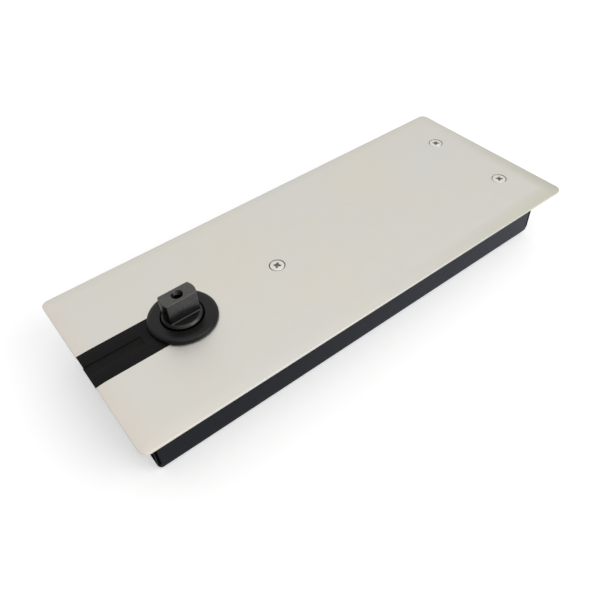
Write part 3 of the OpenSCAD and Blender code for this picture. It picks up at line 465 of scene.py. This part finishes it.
def bright_screw_steel():
    """Cover screws: bright stainless, a little paler than the plate, with painted shade in the cross recess and on
    the head's flank below the plate's top.
    """
    f = Finish("bright_screw_steel", (0.74, 0.72, 0.68), 1.0, 0.33)
    clouds = f.place(CLOUDS, Size=0.004, Mottle_Size=0.0007)
    bright = blend_colours(f.tree, clouds["Mottling"], (0.72, 0.70, 0.66), (0.79, 0.78, 0.75))
    # Painted shade: the screw below the plate's top is darkened, in the cross recess and on the flank in the seat
    # gap.
    painted_shade = f.place(SHADE_BELOW, Level=PLATE_TOP - 0.00016, Fade=0.00045)["Shade Below"]
    f.colour(blend_colours(f.tree, painted_shade, bright, (0.24, 0.21, 0.175)))
    f.roughness(clouds["Clouds"], 0.4, 0.5)
    f.relief(clouds["Mottling"], 0.000006)
    return f.material


def black_moulding(name, tone, roughness, specular):
    """Insert and collar: black moulded plastic with a spark-eroded grain."""
    f = Finish(name, (tone, tone, tone * 0.94), 0.0, roughness, specular)
    grain = f.place(GRAIN, Grain_Size=0.00035)
    clouds = f.place(CLOUDS, Size=0.012, Mottle_Size=0.0016)
    base = blend_colours(f.tree, clouds["Clouds"], (tone * 0.85, tone * 0.85, tone * 0.8),
                         (tone * 1.2, tone * 1.2, tone * 1.12))
    scuffed = maths(f.tree, "MULTIPLY", grain["Pits"], 0.3)
    dusted = blend_colours(f.tree, scuffed, base, (tone * 2.2, tone * 2.2, tone * 2.1))
    worn = f.place(WEAR, Width=0.00035, Breakup_Size=0.004, Amount=0.5)
    f.colour(blend_colours(f.tree, worn["Worn"], dusted, (tone * 4, tone * 4, tone * 3.8)))
    f.roughness(clouds["Mottling"], roughness - 0.06, roughness + 0.06)
    f.relief(grain["Height"], 0.00003)
    return f.material


def box_paint():
    """Cement box: black semi-matt paint with a bluish cast and slight orange peel, with painted light that makes it
    paler towards its +X end.
    """
    f = Finish("box_paint", (0.0018, 0.0022, 0.0048), 0.0, 0.32, 0.08)
    f.shader.inputs["Sheen Weight"].default_value = 0.13
    f.shader.inputs["Sheen Roughness"].default_value = 0.4
    f.shader.inputs["Sheen Tint"].default_value = (0.35, 0.5, 1.0, 1)
    clouds = f.place(CLOUDS, Size=0.03, Mottle_Size=0.0018)
    base = blend_colours(f.tree, clouds["Clouds"], (0.0010, 0.0013, 0.0028), (0.0018, 0.0021, 0.0044))
    # Painted light: the base grows paler along X, standing in for the brighter light on that end.
    along = spread(f.tree, axes_of(f.tree, on_object(f.tree))["X"], shell_low.x, shell_high.x)
    base = blend_colours(f.tree, along, base, (0.024, 0.026, 0.032))
    worn = f.place(WEAR, Width=0.0006, Breakup_Size=0.006, Amount=0.3)
    f.colour(blend_colours(f.tree, worn["Worn"], base, (0.05, 0.05, 0.06)))
    f.roughness(clouds["Mottling"], 0.28, 0.38)
    f.relief(clouds["Mottling"], 0.00002)
    return f.material


def shaded_end_paint():
    """End walls of the box and the joints beside them: the same black, slightly paler and without specular
    reflection, a shaded copy of the paint as painted shade for the dark floor the end walls reflect; the joints are
    dark joints.
    """
    f = Finish("box_paint_shaded_ends", (0.010, 0.010, 0.0115), 0.0, 0.8, 0.0)
    clouds = f.place(CLOUDS, Size=0.02, Mottle_Size=0.002)
    f.colour(blend_colours(f.tree, clouds["Mottling"], (0.004, 0.004, 0.005), (0.006, 0.006, 0.007)))
    f.roughness(clouds["Clouds"], 0.7, 0.9)
    f.relief(clouds["Mottling"], 0.00002)
    return f.material


def blackened_steel():
    """Spindle: black oxide on machined steel, with painted light: paler on its lit top, darker on its flats and on
    the neck below the tongue as painted shade, and rubbed on its edges.
    """
    f = Finish("blackened_steel", (0.088, 0.087, 0.082), 1.0, 0.3)
    grain = f.place(GRAIN, Grain_Size=0.00045)
    clouds = f.place(CLOUDS, Size=0.009, Mottle_Size=0.0012)
    # Painted light: the top face takes the paler colour as lit, and the flats and all below the top take the darker
    # colour as shaded.
    top = blend_colours(f.tree, clouds["Mottling"], (0.076, 0.075, 0.072), (0.106, 0.104, 0.097))
    flat = blend_colours(f.tree, clouds["Mottling"], (0.052, 0.052, 0.056), (0.070, 0.070, 0.074))
    shaded_sides = f.place(SHADE_BELOW, Level=spindle_high.z - 0.0001, Fade=0.0004)["Shade Below"]
    base = blend_colours(f.tree, shaded_sides, top, flat)
    worn = f.place(WEAR, Width=0.0004, Breakup_Size=0.0025, Amount=0.4)
    rubbed = blend_colours(f.tree, worn["Worn"], base, (0.24, 0.23, 0.215))
    # Painted shade: the neck below the tongue is darkened.
    neck_shade = f.place(SHADE_BELOW, Level=PLATE_TOP + 0.00505, Fade=0.0003)["Shade Below"]
    f.colour(blend_colours(f.tree, neck_shade, rubbed, (0.045, 0.045, 0.043)))
    f.roughness(clouds["Clouds"], 0.24, 0.34)
    f.relief(grain["Height"], 0.00001)
    return f.material


def cast_iron():
    """Body, lid and crosshead: sand-cast iron with machined faces."""
    f = Finish("grey_cast_iron", (0.16, 0.165, 0.17), 0.6, 0.62)
    grain = f.place(GRAIN, Grain_Size=0.0011)
    clouds = f.place(CLOUDS, Size=0.02, Mottle_Size=0.003)
    base = blend_colours(f.tree, clouds["Clouds"], (0.14, 0.145, 0.15), (0.19, 0.19, 0.195))
    oiled = blend_colours(f.tree, maths(f.tree, "MULTIPLY", grain["Pits"], 0.5), base, (0.09, 0.085, 0.08))
    worn = f.place(WEAR, Width=0.0005, Breakup_Size=0.005, Amount=0.5)
    f.colour(blend_colours(f.tree, worn["Worn"], oiled, (0.34, 0.34, 0.35)))
    f.roughness(clouds["Mottling"], 0.5, 0.72)
    f.relief(grain["Height"], 0.00012)
    return f.material


def machined(name, colour, roughness, lay=(900.0, 900.0, 40.0), metallic=1.0):
    """Turned, ground or plated metal with its tool lay and slightly worn edges. The lay runs where it is low."""
    f = Finish(name, colour, metallic, roughness)
    lines = f.place(LAY, Across_X=lay[0], Across_Y=lay[1], Across_Z=lay[2])
    clouds = f.place(CLOUDS, Size=0.012, Mottle_Size=0.0015)
    darker = tuple(c * 0.82 for c in colour)
    paler = tuple(min(1.0, c * 1.12) for c in colour)
    base = blend_colours(f.tree, clouds["Clouds"], darker, paler)
    worn = f.place(WEAR, Width=0.0003, Breakup_Size=0.004, Amount=0.5)
    f.colour(blend_colours(f.tree, worn["Worn"], base, tuple(min(1.0, c * 1.35) for c in colour)))
    f.roughness(lines["Lines"], max(0.05, roughness - 0.1), roughness + 0.1)
    f.relief(lines["Lines"], 0.000006)
    return f.material


def soft_compound(name, colour, roughness, grain_size=0.0006):
    """Rubber, fibre or PTFE, with its fine tooth."""
    f = Finish(name, colour, 0.0, roughness, 0.35)
    grain = f.place(GRAIN, Grain_Size=grain_size)
    clouds = f.place(CLOUDS, Size=0.01, Mottle_Size=0.002)
    base = blend_colours(f.tree, clouds["Clouds"], tuple(c * 0.85 for c in colour),
                         tuple(min(1.0, c * 1.15) for c in colour))
    f.colour(blend_colours(f.tree, maths(f.tree, "MULTIPLY", grain["Pits"], 0.35), base,
                           tuple(c * 0.7 for c in colour)))
    f.roughness(clouds["Mottling"], roughness - 0.08, roughness + 0.08)
    f.relief(grain["Height"], 0.00004)
    return f.material


STAINLESS, SCREW, PAINT, SHADED_END_PAINT = satin_stainless(), bright_screw_steel(), box_paint(), shaded_end_paint()
OXIDE, IRON = blackened_steel(), cast_iron()
INSERT_BLACK = black_moulding("insert_moulding", 0.0052, 0.55, 0.12)
COLLAR_BLACK = black_moulding("collar_moulding", 0.0042, 0.33, 0.25)
ZINC = machined("zinc_plate", (0.55, 0.56, 0.57), 0.38)
BLACK_SCREW = machined("blackened_screw", (0.05, 0.05, 0.052), 0.42, metallic=0.5)
HARD = machined("ground_hard_steel", (0.35, 0.36, 0.37), 0.3, (3000.0, 3000.0, 60.0))
BRONZE = machined("turned_bronze", (0.60, 0.42, 0.18), 0.32)
BEARING = machined("polished_bearing_steel", (0.62, 0.63, 0.65), 0.14)
SPRING = machined("oil_tempered_wire", (0.20, 0.205, 0.215), 0.36, (40.0, 900.0, 900.0))
COPPER = machined("annealed_copper", (0.55, 0.27, 0.15), 0.4)
RUBBER = soft_compound("black_rubber", (0.02, 0.02, 0.02), 0.6)
FIBRE = soft_compound("fibre_gasket", (0.10, 0.13, 0.10), 0.8, 0.0008)
PTFE = soft_compound("white_ptfe", (0.75, 0.74, 0.70), 0.4)

FINISHES = {
    ZINC: ["box_weld_nuts", "plate_bracket", "clamp_bolts", "clamp_washers", "guide_rods", "spring_seats",
           "cylinder_plug", "filler_screw", "gallery_plugs"],
    IRON: ["body_casting", "body_lid", "crosshead"],
    FIBRE: ["body_gasket"],
    BLACK_SCREW: ["lid_screws"],
    HARD: ["cam", "cam_key", "follower_roller", "roller_pin", "piston"],
    BRONZE: ["levelling_bushes", "thrust_washer", "lower_ball_cage", "check_valve_seat", "rod_bush",
             "closing_valve", "latching_valve"],
    BEARING: ["lower_outer_race", "lower_inner_race", "lower_balls", "needle_cup", "needles", "check_ball"],
    RUBBER: ["spindle_seal", "plug_o_ring", "valve_o_rings"],
    PTFE: ["piston_ring"],
    COPPER: ["filler_seal"],
    STAINLESS: ["cover_plate"],
    SCREW: ["cover_screws"],
    INSERT_BLACK: ["slot_insert"],
    COLLAR_BLACK: ["collar_ring"],
    PAINT: ["cement_box"],
    OXIDE: ["spindle"],
    SPRING: ["left_spring", "right_spring"],
}


def coat(obj, material):
    """Leaves this one material on a piece."""
    obj.data.materials.clear()
    obj.data.materials.append(material)
    return obj


for material, names in FINISHES.items():
    for name in names:
        coat(nodes[name], material)


def fit_out(obj, material, slot, body, *replaced):
    """Gives a finished piece its material and its body, and hides the CAD nodes that it stands for."""
    coat(obj, material)
    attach(obj, body)
    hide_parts(*replaced)
    return obj


# ---- Cover plate ----

RIM = 8.5 * MM
RIM_DROP = 0.5 * MM
PLATE_T = 1.5 * MM
PLATE_CORNER = 4.5 * MM
CUT_EDGE = 0.14 * MM
FOOT_EDGE = 0.6 * MM
SLOT_HALF = 12.5 * MM
EYE_R = 15.2 * MM
EYE_SIDES = 96
SINK = [(0, -4), (2.65, -4), (2.65, -2.6), (4.75, -0.5), (4.85, 0.02), (4.9, 1), (0, 1)]


def crown(inset):
    """Height of the top of the plate at a distance from its edge."""
    return PLATE_TOP - RIM_DROP * max(0.0, 1 - inset / RIM) ** 2


def plate_shape():
    """Crowned plate with a pressed rim and rounded cut edges, its slot and eye for the spindle, and screw seats."""
    length, width = plate_high.x - plate_low.x, plate_high.y - plate_low.y
    loops = [(RIM * 1.3, PLATE_TOP - PLATE_T)]
    loops += [(RIM * t, crown(RIM * t) - PLATE_T) for t in (1.0, 0.75, 0.5, 0.3, 0.15)]
    foot = crown(0) - PLATE_T
    loops += [((1 - math.sin(math.radians(a))) * FOOT_EDGE, foot + (1 - math.cos(math.radians(a))) * FOOT_EDGE)
              for a in (0, 22, 45, 68, 90)]
    loops += [(0.0, crown(0) - CUT_EDGE), (0.02 * MM, crown(0) - 0.07 * MM), (0.06 * MM, crown(0) - 0.02 * MM),
              (CUT_EDGE, crown(CUT_EDGE))]
    loops += [(RIM * t, crown(RIM * t)) for t in (0.1, 0.2, 0.3, 0.4, 0.5, 0.6, 0.7, 0.8, 0.9, 1.0, 1.04)]
    bm = bmesh.new()
    rings = []
    for inset, z in loops:
        radius = max(PLATE_CORNER - inset, 0.6 * MM)
        outline = round_loop(length - 2 * inset, width - 2 * inset, radius)
        rings.append([bm.verts.new((x, y, z)) for x, y in outline])
    for a, b in zip(rings, rings[1:]):
        bridge(bm, a, b)
    bm.faces.new(rings[0][::-1])
    bm.faces.new(rings[-1])
    plate = piece("satin_plate", bm)
    low, high = PLATE_TOP - 4 * MM, PLATE_TOP + 2 * MM
    reach = plate_low.x - 2 * MM
    eye = [(AXIS_X + EYE_R * math.cos(a), EYE_R * math.sin(a))
           for a in (2 * math.pi * i / EYE_SIDES for i in range(EYE_SIDES))]
    cutters = [prism("slot_cut", [(reach, -SLOT_HALF), (AXIS_X, -SLOT_HALF), (AXIS_X, SLOT_HALF),
                                  (reach, SLOT_HALF)], low, high),
               prism("eye_cut", eye, low, high)]
    for i, (x, y) in enumerate(SCREW_PLACES):
        cutters.append(turned(f"sink_{i}", SINK, (x, y, PLATE_TOP), 64))
    return combine(plate, cutters, "DIFFERENCE")


fit_out(plate_shape(), STAINLESS, "stainless", "housing", "cover_plate")


# ---- Cover screws ----

CROSS_TURN = 45
SCREW_LENGTHS = (8, 12, 12)


def cross_cut(name, x, y):
    """Cross recess: four arms that narrow outwards, round a deeper middle."""
    bm = bmesh.new()
    star = []
    for i in range(4):
        for r, lean in ((2.85 * MM, -10.0), (2.85 * MM, 10.0), (1.5 * MM, 45)):
            a = math.radians(CROSS_TURN + 90 * i + lean)
            star.append((r * math.cos(a), r * math.sin(a)))
    top = [bm.verts.new((x + p * 1.03, y + q * 1.03, PLATE_TOP + 0.5 * MM)) for p, q in star]
    bottom = [bm.verts.new((x + p * 0.66, y + q * 0.66, PLATE_TOP - 1.0 * MM)) for p, q in star]
    tip = bm.verts.new((x, y, PLATE_TOP - 1.5 * MM))
    bridge(bm, bottom, top)
    bm.faces.new(top)
    for i, corner in enumerate(bottom):
        bm.faces.new((tip, bottom[(i + 1) % len(bottom)], corner))
    return piece(name, bm)


def plate_screws():
    """Countersunk screws, a short one on the middle line and two longer ones at the far end."""
    made = []
    for i, ((x, y), length) in enumerate(zip(SCREW_PLACES, SCREW_LENGTHS)):
        head = [(0, 0.06), (2.0, 0.05), (3.2, 0.01), (3.9, -0.05), (4.2, -0.13), (4.36, -0.28), (4.42, -0.5),
                (4.4, -0.75), (2.5, -2.55), (2.5, -length + 0.8), (1.9, -length), (0, -length)]
        screw = turned(f"cover_screw_{i + 1}", head, (x, y, PLATE_TOP), 72)
        made.append(combine(screw, [cross_cut("cross", x, y)], "DIFFERENCE"))
    return made


for screw in plate_screws():
    fit_out(screw, SCREW, "bright_screw", "housing", "cover_screws")


# ---- Slot insert and collar ----

RECESS_HALF = 3.35 * MM
RECESS_DEPTH = 0.65 * MM
RECESS_LENGTH = 33 * MM
END_STEP = 0.4 * MM


def insert_shape():
    """Flush strip that fills the slot, with its shallow recess and the flange under the plate."""
    top = insert_high.z
    half = SLOT_HALF - 0.12 * MM
    reach = insert_low.x
    strip = block("slot_strip", (reach, -half, top - 1.9 * MM), (AXIS_X, half, top))
    inner = shell_low.x + 2.1 * MM
    flange = block("flange", (inner, insert_low.y, insert_low.z), (AXIS_X, insert_high.y, plate_low.z + 0.46 * MM))
    combine(strip, [flange], "UNION")
    eye = turned("eye", [(0, -6), (EYE_R / MM + 0.1, -6), (EYE_R / MM + 0.1, 2), (0, 2)], (AXIS_X, 0, top),
                 EYE_SIDES)
    recess = block("recess", (reach - MM, -RECESS_HALF, top - RECESS_DEPTH),
                   (reach + RECESS_LENGTH, RECESS_HALF, top + MM))
    setback = block("setback", (reach - MM, RECESS_HALF, top - 4 * MM), (reach + END_STEP, 14 * MM, top + MM))
    combine(strip, [eye, recess, setback], "DIFFERENCE")
    return dress_edges(strip, 0.16 * MM)


fit_out(insert_shape(), INSERT_BLACK, "black_plastic", "housing", "slot_insert")


def collar_shape():
    """Turned ring with a soft outer shoulder and a lip at its bore."""
    r = (collar_high.x - collar_low.x) / 2 / MM
    h = (collar_high.z - PLATE_TOP) / MM
    bore, spigot = 12.0, EYE_R / MM - 0.1
    profile = [(bore, -1.5), (spigot, -1.5), (spigot, 0.0), (r - 0.06, 0.0), (r, 0.06),
               (r, h - 2.0), (r - 0.12, h - 1.5), (r - 0.42, h - 1.05), (r - 0.85, h - 0.66),
               (r - 1.4, h - 0.36), (r - 2.0, h - 0.15), (r - 2.7, h - 0.04), (r - 3.3, h),
               (bore + 1.1, h), (bore + 0.75, h - 0.03), (bore + 0.4, h - 0.14), (bore + 0.12, h - 0.4),
               (bore, h - 0.75)]
    return turned("collar", profile, (AXIS_X, 0, PLATE_TOP), 160, sharp=40)


fit_out(collar_shape(), COLLAR_BLACK, "black_plastic", "housing", "collar_ring")


# ---- Spindle ----

def tongue_loop(radius, half, count=20):
    """Points (x, y) of a round end shape with two flats, its four corners softly rounded."""
    corner = math.degrees(math.asin(half / radius))
    angles = [corner * i / 8 for i in range(6)] + [corner + 0.75 * i for i in range(-8, 9)]
    angles += [corner + 8 + (90 - corner - 8) * i / count for i in range(count)]
    quarter = [math.radians(a) for a in angles]
    turn = quarter + [math.radians(90)] + [math.pi - a for a in reversed(quarter[1:])]
    turn = turn + [math.pi + a for a in turn]
    points = []
    for a in turn:
        flat = half / max(abs(math.sin(a)), ON_AXIS)
        r = (radius ** -60 + flat ** -60) ** (-1 / 60)
        points.append((AXIS_X + r * MM * math.cos(a), r * MM * math.sin(a)))
    return points


NECK_RISE = 4.7


def spindle_shape():
    """Turned spindle with its flatted tongue, tapping hole and keyway."""
    low, top = spindle_low.z / MM, spindle_high.z / MM
    neck_top = PLATE_TOP / MM + NECK_RISE
    neck, end, half, tap = 11.5, 10.3, 5.0, 1.9
    journal, seat, flange = 12.0, 8.5, 15.0
    cam_z, journal_top, bearing_top = 17.5, 34.1, 16.0
    body = turned("door_spindle", [
        (0, low), (seat - 0.5, low), (seat, low + 0.5), (seat, bearing_top), (flange, bearing_top),
        (flange, cam_z), (journal, cam_z), (journal, journal_top - 0.5), (journal - 0.5, journal_top),
        (neck, journal_top), (neck, neck_top - 1.45), (neck - 0.04, neck_top - 1.3), (neck - 0.13, neck_top - 1.15),
        (neck - 1.15, neck_top - 0.13), (neck - 1.3, neck_top - 0.04), (neck - 1.45, neck_top), (0, neck_top)],
        (AXIS_X, 0, 0), 160)
    bm = bmesh.new()
    rings = []
    for inset, z in ((0, neck_top - 2.4), (-0.45, neck_top), (-0.2, neck_top + 0.08), (-0.05, neck_top + 0.24),
                     (0, neck_top + 0.5), (0, top - 0.4), (0.07, top - 0.2), (0.2, top - 0.06), (0.42, top)):
        rings.append([bm.verts.new((x, y, z * MM)) for x, y in tongue_loop(end - max(inset, 0), half - inset)])
    for a, b in zip(rings, rings[1:]):
        bridge(bm, a, b)
    bm.faces.new(rings[0][::-1])
    bm.faces.new(rings[-1])
    tongue = piece("tongue", bm)
    holes = [turned(f"tapping_{i}", [(0, top - 18), (tap, top - 16), (tap, top - 2.2), (tap + 1.45, top + 0.01),
                                     (tap + 1.5, top + 0.6), (0, top + 0.6)],
                    (AXIS_X, 0, 0), 64) for i in range(2)]
    combine(tongue, holes[:1], "DIFFERENCE")
    centre = turned("centre", [(0, 5.0), (2.4, 5.0), (0.4, 10.0), (0, 10.0)], (AXIS_X, 0, 0), 48)
    keyway = block("keyway", (AXIS_X - 14 * MM, -3.01 * MM, cam_z * MM), (AXIS_X - 8.49 * MM, 3.01 * MM, 27.51 * MM))
    combine(body, [holes[1], centre, keyway], "DIFFERENCE")
    return gather(body, [tongue])


fit_out(spindle_shape(), OXIDE, "black_oxide", "spindle_unit", "spindle")


# ---- Cement box ----

WALL = 1.6 * MM
STRIP = 1.35 * MM
STRIP_SHEET = 1.7 * MM
JOINT = 0.8 * MM
OUTER_CORNER = 0.7 * MM
INNER_CORNER = 0.5 * MM
END_ZONE = 0.13


def bend_inset(height, radius):
    """How far the outside of a bend lies in from the wall at a height above its foot."""
    return radius - math.sqrt(radius ** 2 - (radius - height) ** 2) if height < radius else 0.0


def box_shape():
    """Tray with rounded lower edges. Its end walls, and the joint beside each strip's edge, take the shaded matt copy
    of the paint as painted shade.
    """
    length, width, h = shell_high.x - shell_low.x, shell_high.y - shell_low.y, shell_high.z
    middle = (shell_low.x + shell_high.x) / 2
    lip, brim = WALL - 0.1 * MM, h - 0.15 * MM
    outer = [BOX_BEND * (1 - math.cos(math.radians(a))) for a in range(0, 91, 7)]
    inner = [(BOX_BEND - WALL) * (1 - math.cos(math.radians(a))) for a in range(90, -1, -15)]
    rings = [(z, 0, bend_inset(z, BOX_BEND), bend_inset(z, SIDE_BEND), OUTER_CORNER) for z in outer]
    rings += [(brim, 0, 0, 0, OUTER_CORNER), (h, 0, 0.1 * MM, 0.1 * MM, OUTER_CORNER),
              (h, 0, lip, lip, INNER_CORNER), (brim, 0, WALL, WALL, INNER_CORNER)]
    rings += [(z, WALL, WALL + bend_inset(z, BOX_BEND - WALL), WALL + bend_inset(z, SIDE_BEND - WALL), INNER_CORNER)
              for z in inner]
    bm = bmesh.new()
    loops = []
    for z, lift, end_inset, side_inset, corner in rings:
        outline = round_loop(length - 2 * end_inset, width - 2 * side_inset, corner, 4)
        strip = STRIP + bend_inset(max(z + lift - STRIP_SHEET, 0), BOX_BEND - STRIP_SHEET)
        seam = min(length / 2 - strip, length / 2 - end_inset - corner - 0.2 * MM)
        y, joint = width / 2 - side_inset, seam - JOINT
        outline = (outline[:5] + [(seam, y), (joint, y), (-joint, y), (-seam, y)] + outline[5:15]
                   + [(-seam, -y), (-joint, -y), (joint, -y), (seam, -y)] + outline[15:])
        loops.append([bm.verts.new((middle + x, y, z + lift)) for x, y in outline])
    for a, b in zip(loops, loops[1:]):
        bridge(bm, a, b)
    bm.faces.new(loops[0][::-1])
    bm.faces.new(loops[-1])
    return piece("cement_tray", bm)


tray = fit_out(box_shape(), PAINT, "black_paint", "housing", "cement_box")
# End walls and joints get the shaded copy of the paint: painted shade.
tray.data.materials.append(SHADED_END_PAINT)
for face in tray.data.polygons:
    spots = [tray.data.vertices[i].co.x for i in face.vertices]
    on_joint = abs(max(spots) - min(spots) - JOINT) < 0.12 * MM
    near_end = abs(face.center.x - (shell_low.x + shell_high.x) / 2) > END_ZONE
    if near_end and (on_joint or abs(face.normal.x) > 0.8):
        face.material_index = 1


# ---- Springs ----

def coil_spring(name, low, high, hand):
    """Round-wire spring with closed ends, wound along X."""
    axis_y, axis_z = (low.y + high.y) / 2, (low.z + high.z) / 2
    wire, turns, per_turn, sides, coil_gap = 4.4 * MM, 16, 40, 14, 0.1 * MM
    pitch_r = (high.z - low.z) / 2 - wire / 2
    length = high.x - low.x
    step = (length - wire - 2 * (wire + coil_gap)) / (turns - 2)
    bm = bmesh.new()
    rings = []
    for i in range(turns * per_turn + 1):
        t = i / per_turn
        ends = min(t, 1) + max(t - turns + 1, 0)
        x = low.x + wire / 2 + (wire + coil_gap) * ends + step * min(max(t - 1, 0), turns - 2)
        a = 2 * math.pi * t
        ring = []
        for j in range(sides):
            b = 2 * math.pi * j / sides
            r = pitch_r + wire / 2 * math.cos(b)
            ring.append(bm.verts.new((x + wire / 2 * math.sin(b), axis_y + hand * r * math.cos(a),
                                      axis_z + r * math.sin(a))))
        rings.append(ring)
    for a, b in zip(rings, rings[1:]):
        bridge(bm, a, b)
    bm.faces.new(rings[0])
    bm.faces.new(rings[-1][::-1])
    return piece(name, bm, 50)


for side, hand in (("left", 1), ("right", -1)):
    low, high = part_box(side + "_spring")
    coil = coil_spring(side + "_coil", low, high, hand)
    fit_out(coil, SPRING, "spring_steel", "housing", side + "_spring")
    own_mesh(coil)


# ---- Floor, light and camera ----

def seen_as(tree):
    """Adds up the camera, glossy and transmission rays, which see the plain background."""
    path = tree.nodes.new("ShaderNodeLightPath")
    both = maths(tree, "ADD", path.outputs["Is Camera Ray"], path.outputs["Is Glossy Ray"])
    return maths(tree, "ADD", both, path.outputs["Is Transmission Ray"], clamp=True)


FLOOR_GLOW = 0.42
SEEN_LEVEL, PLAIN_LEVEL = 0.38, 0.62
FLANK_LOW = 0.3


def floor():
    """Wide pale floor, which shows white and keeps the shadow."""
    bm = bmesh.new()
    bmesh.ops.create_grid(bm, x_segments=1, y_segments=1, size=6)
    ground = piece("studio_floor", bm)
    material = bpy.data.materials.new("pale_floor")
    material.use_nodes = True
    tree = material.node_tree
    shader = tree.nodes["Principled BSDF"]
    shader.inputs["Base Color"].default_value = (0.9, 0.9, 0.9, 1)
    shader.inputs["Roughness"].default_value = 0.9
    shader.inputs["Specular IOR Level"].default_value = 0.0
    glow = tree.nodes.new("ShaderNodeEmission")
    tree.links.new(maths(tree, "MULTIPLY", seen_as(tree), FLOOR_GLOW), glow.inputs["Strength"])
    add = tree.nodes.new("ShaderNodeAddShader")
    tree.links.new(shader.outputs[0], add.inputs[0])
    tree.links.new(glow.outputs[0], add.inputs[1])
    tree.links.new(add.outputs[0], tree.nodes["Material Output"].inputs["Surface"])
    coat(ground, material)


def sky():
    """Soft dome, brighter overhead than along the horizon, and lower on its left flank."""
    world = bpy.data.worlds.new("studio")
    bpy.context.scene.world = world
    world.use_nodes = True
    tree = world.node_tree
    background = tree.nodes["Background"]
    background.inputs["Color"].default_value = (1, 1, 1, 1)
    axes = axes_of(tree, tree.nodes.new("ShaderNodeTexCoord").outputs["Generated"])
    dome = tree.nodes.new("ShaderNodeMapRange")
    for socket, value in zip(("From Min", "From Max", "To Min", "To Max"), (0.0, 0.6, 0.6, 1.0)):
        dome.inputs[socket].default_value = value
    tree.links.new(axes["Z"], dome.inputs["Value"])
    flank = spread(tree, axes["X"], -0.9, -0.25)
    flank = maths(tree, "ADD", maths(tree, "MULTIPLY", flank, 1 - FLANK_LOW), FLANK_LOW)
    level = maths(tree, "ADD", maths(tree, "MULTIPLY", seen_as(tree), SEEN_LEVEL), PLAIN_LEVEL)
    tree.links.new(maths(tree, "MULTIPLY", level, maths(tree, "MULTIPLY", dome.outputs[0], flank)),
                   background.inputs["Strength"])


def lamp(name, place, aim, size, power):
    """A soft rectangular lamp of a size in metres, turned towards aim."""
    data = bpy.data.lights.new(name, "AREA")
    data.shape, data.size, data.size_y = "RECTANGLE", size[0], size[1]
    data.energy = power
    obj = bpy.data.objects.new(name, data)
    bpy.context.scene.collection.objects.link(obj)
    obj.location = place
    obj.rotation_mode = "QUATERNION"
    obj.rotation_quaternion = (Vector(aim) - Vector(place)).to_track_quat("-Z", "Y")


def camera():
    """Camera beyond the spindle's corner, looking down on the plate."""
    data = bpy.data.cameras.new("camera")
    data.sensor_width, data.lens = 36, 37.009
    data.clip_start, data.clip_end = 0.01, 20
    obj = bpy.data.objects.new("camera", data)
    bpy.context.scene.collection.objects.link(obj)
    azimuth, elevation, roll = (math.radians(d) for d in (-34.850, 46.546, -3.913))
    back = Vector((math.sin(azimuth) * math.cos(elevation), -math.cos(azimuth) * math.cos(elevation),
                   math.sin(elevation)))
    right = (-back).cross(Vector((0, 0, 1))).normalized()
    up = right.cross(-back)
    across = right * math.cos(roll) + up * math.sin(roll)
    upward = up * math.cos(roll) - right * math.sin(roll)
    turn = Matrix((across, upward, back)).transposed().to_4x4()
    obj.matrix_world = Matrix.Translation((-0.172706, -0.224532, 0.288878)) @ turn
    bpy.context.scene.camera = obj


floor()
sky()
lamp("key_lamp", (0.6, -1.05, 0.98), (0.03, 0, 0.03), (1.0, 1.0), 6.5)
lamp("top_lamp", (-0.3, -0.5, 1.7), (0, 0, 0.03), (1.2, 1.2), 3.0)
camera()
bpy.context.scene.view_settings.view_transform = "Standard"
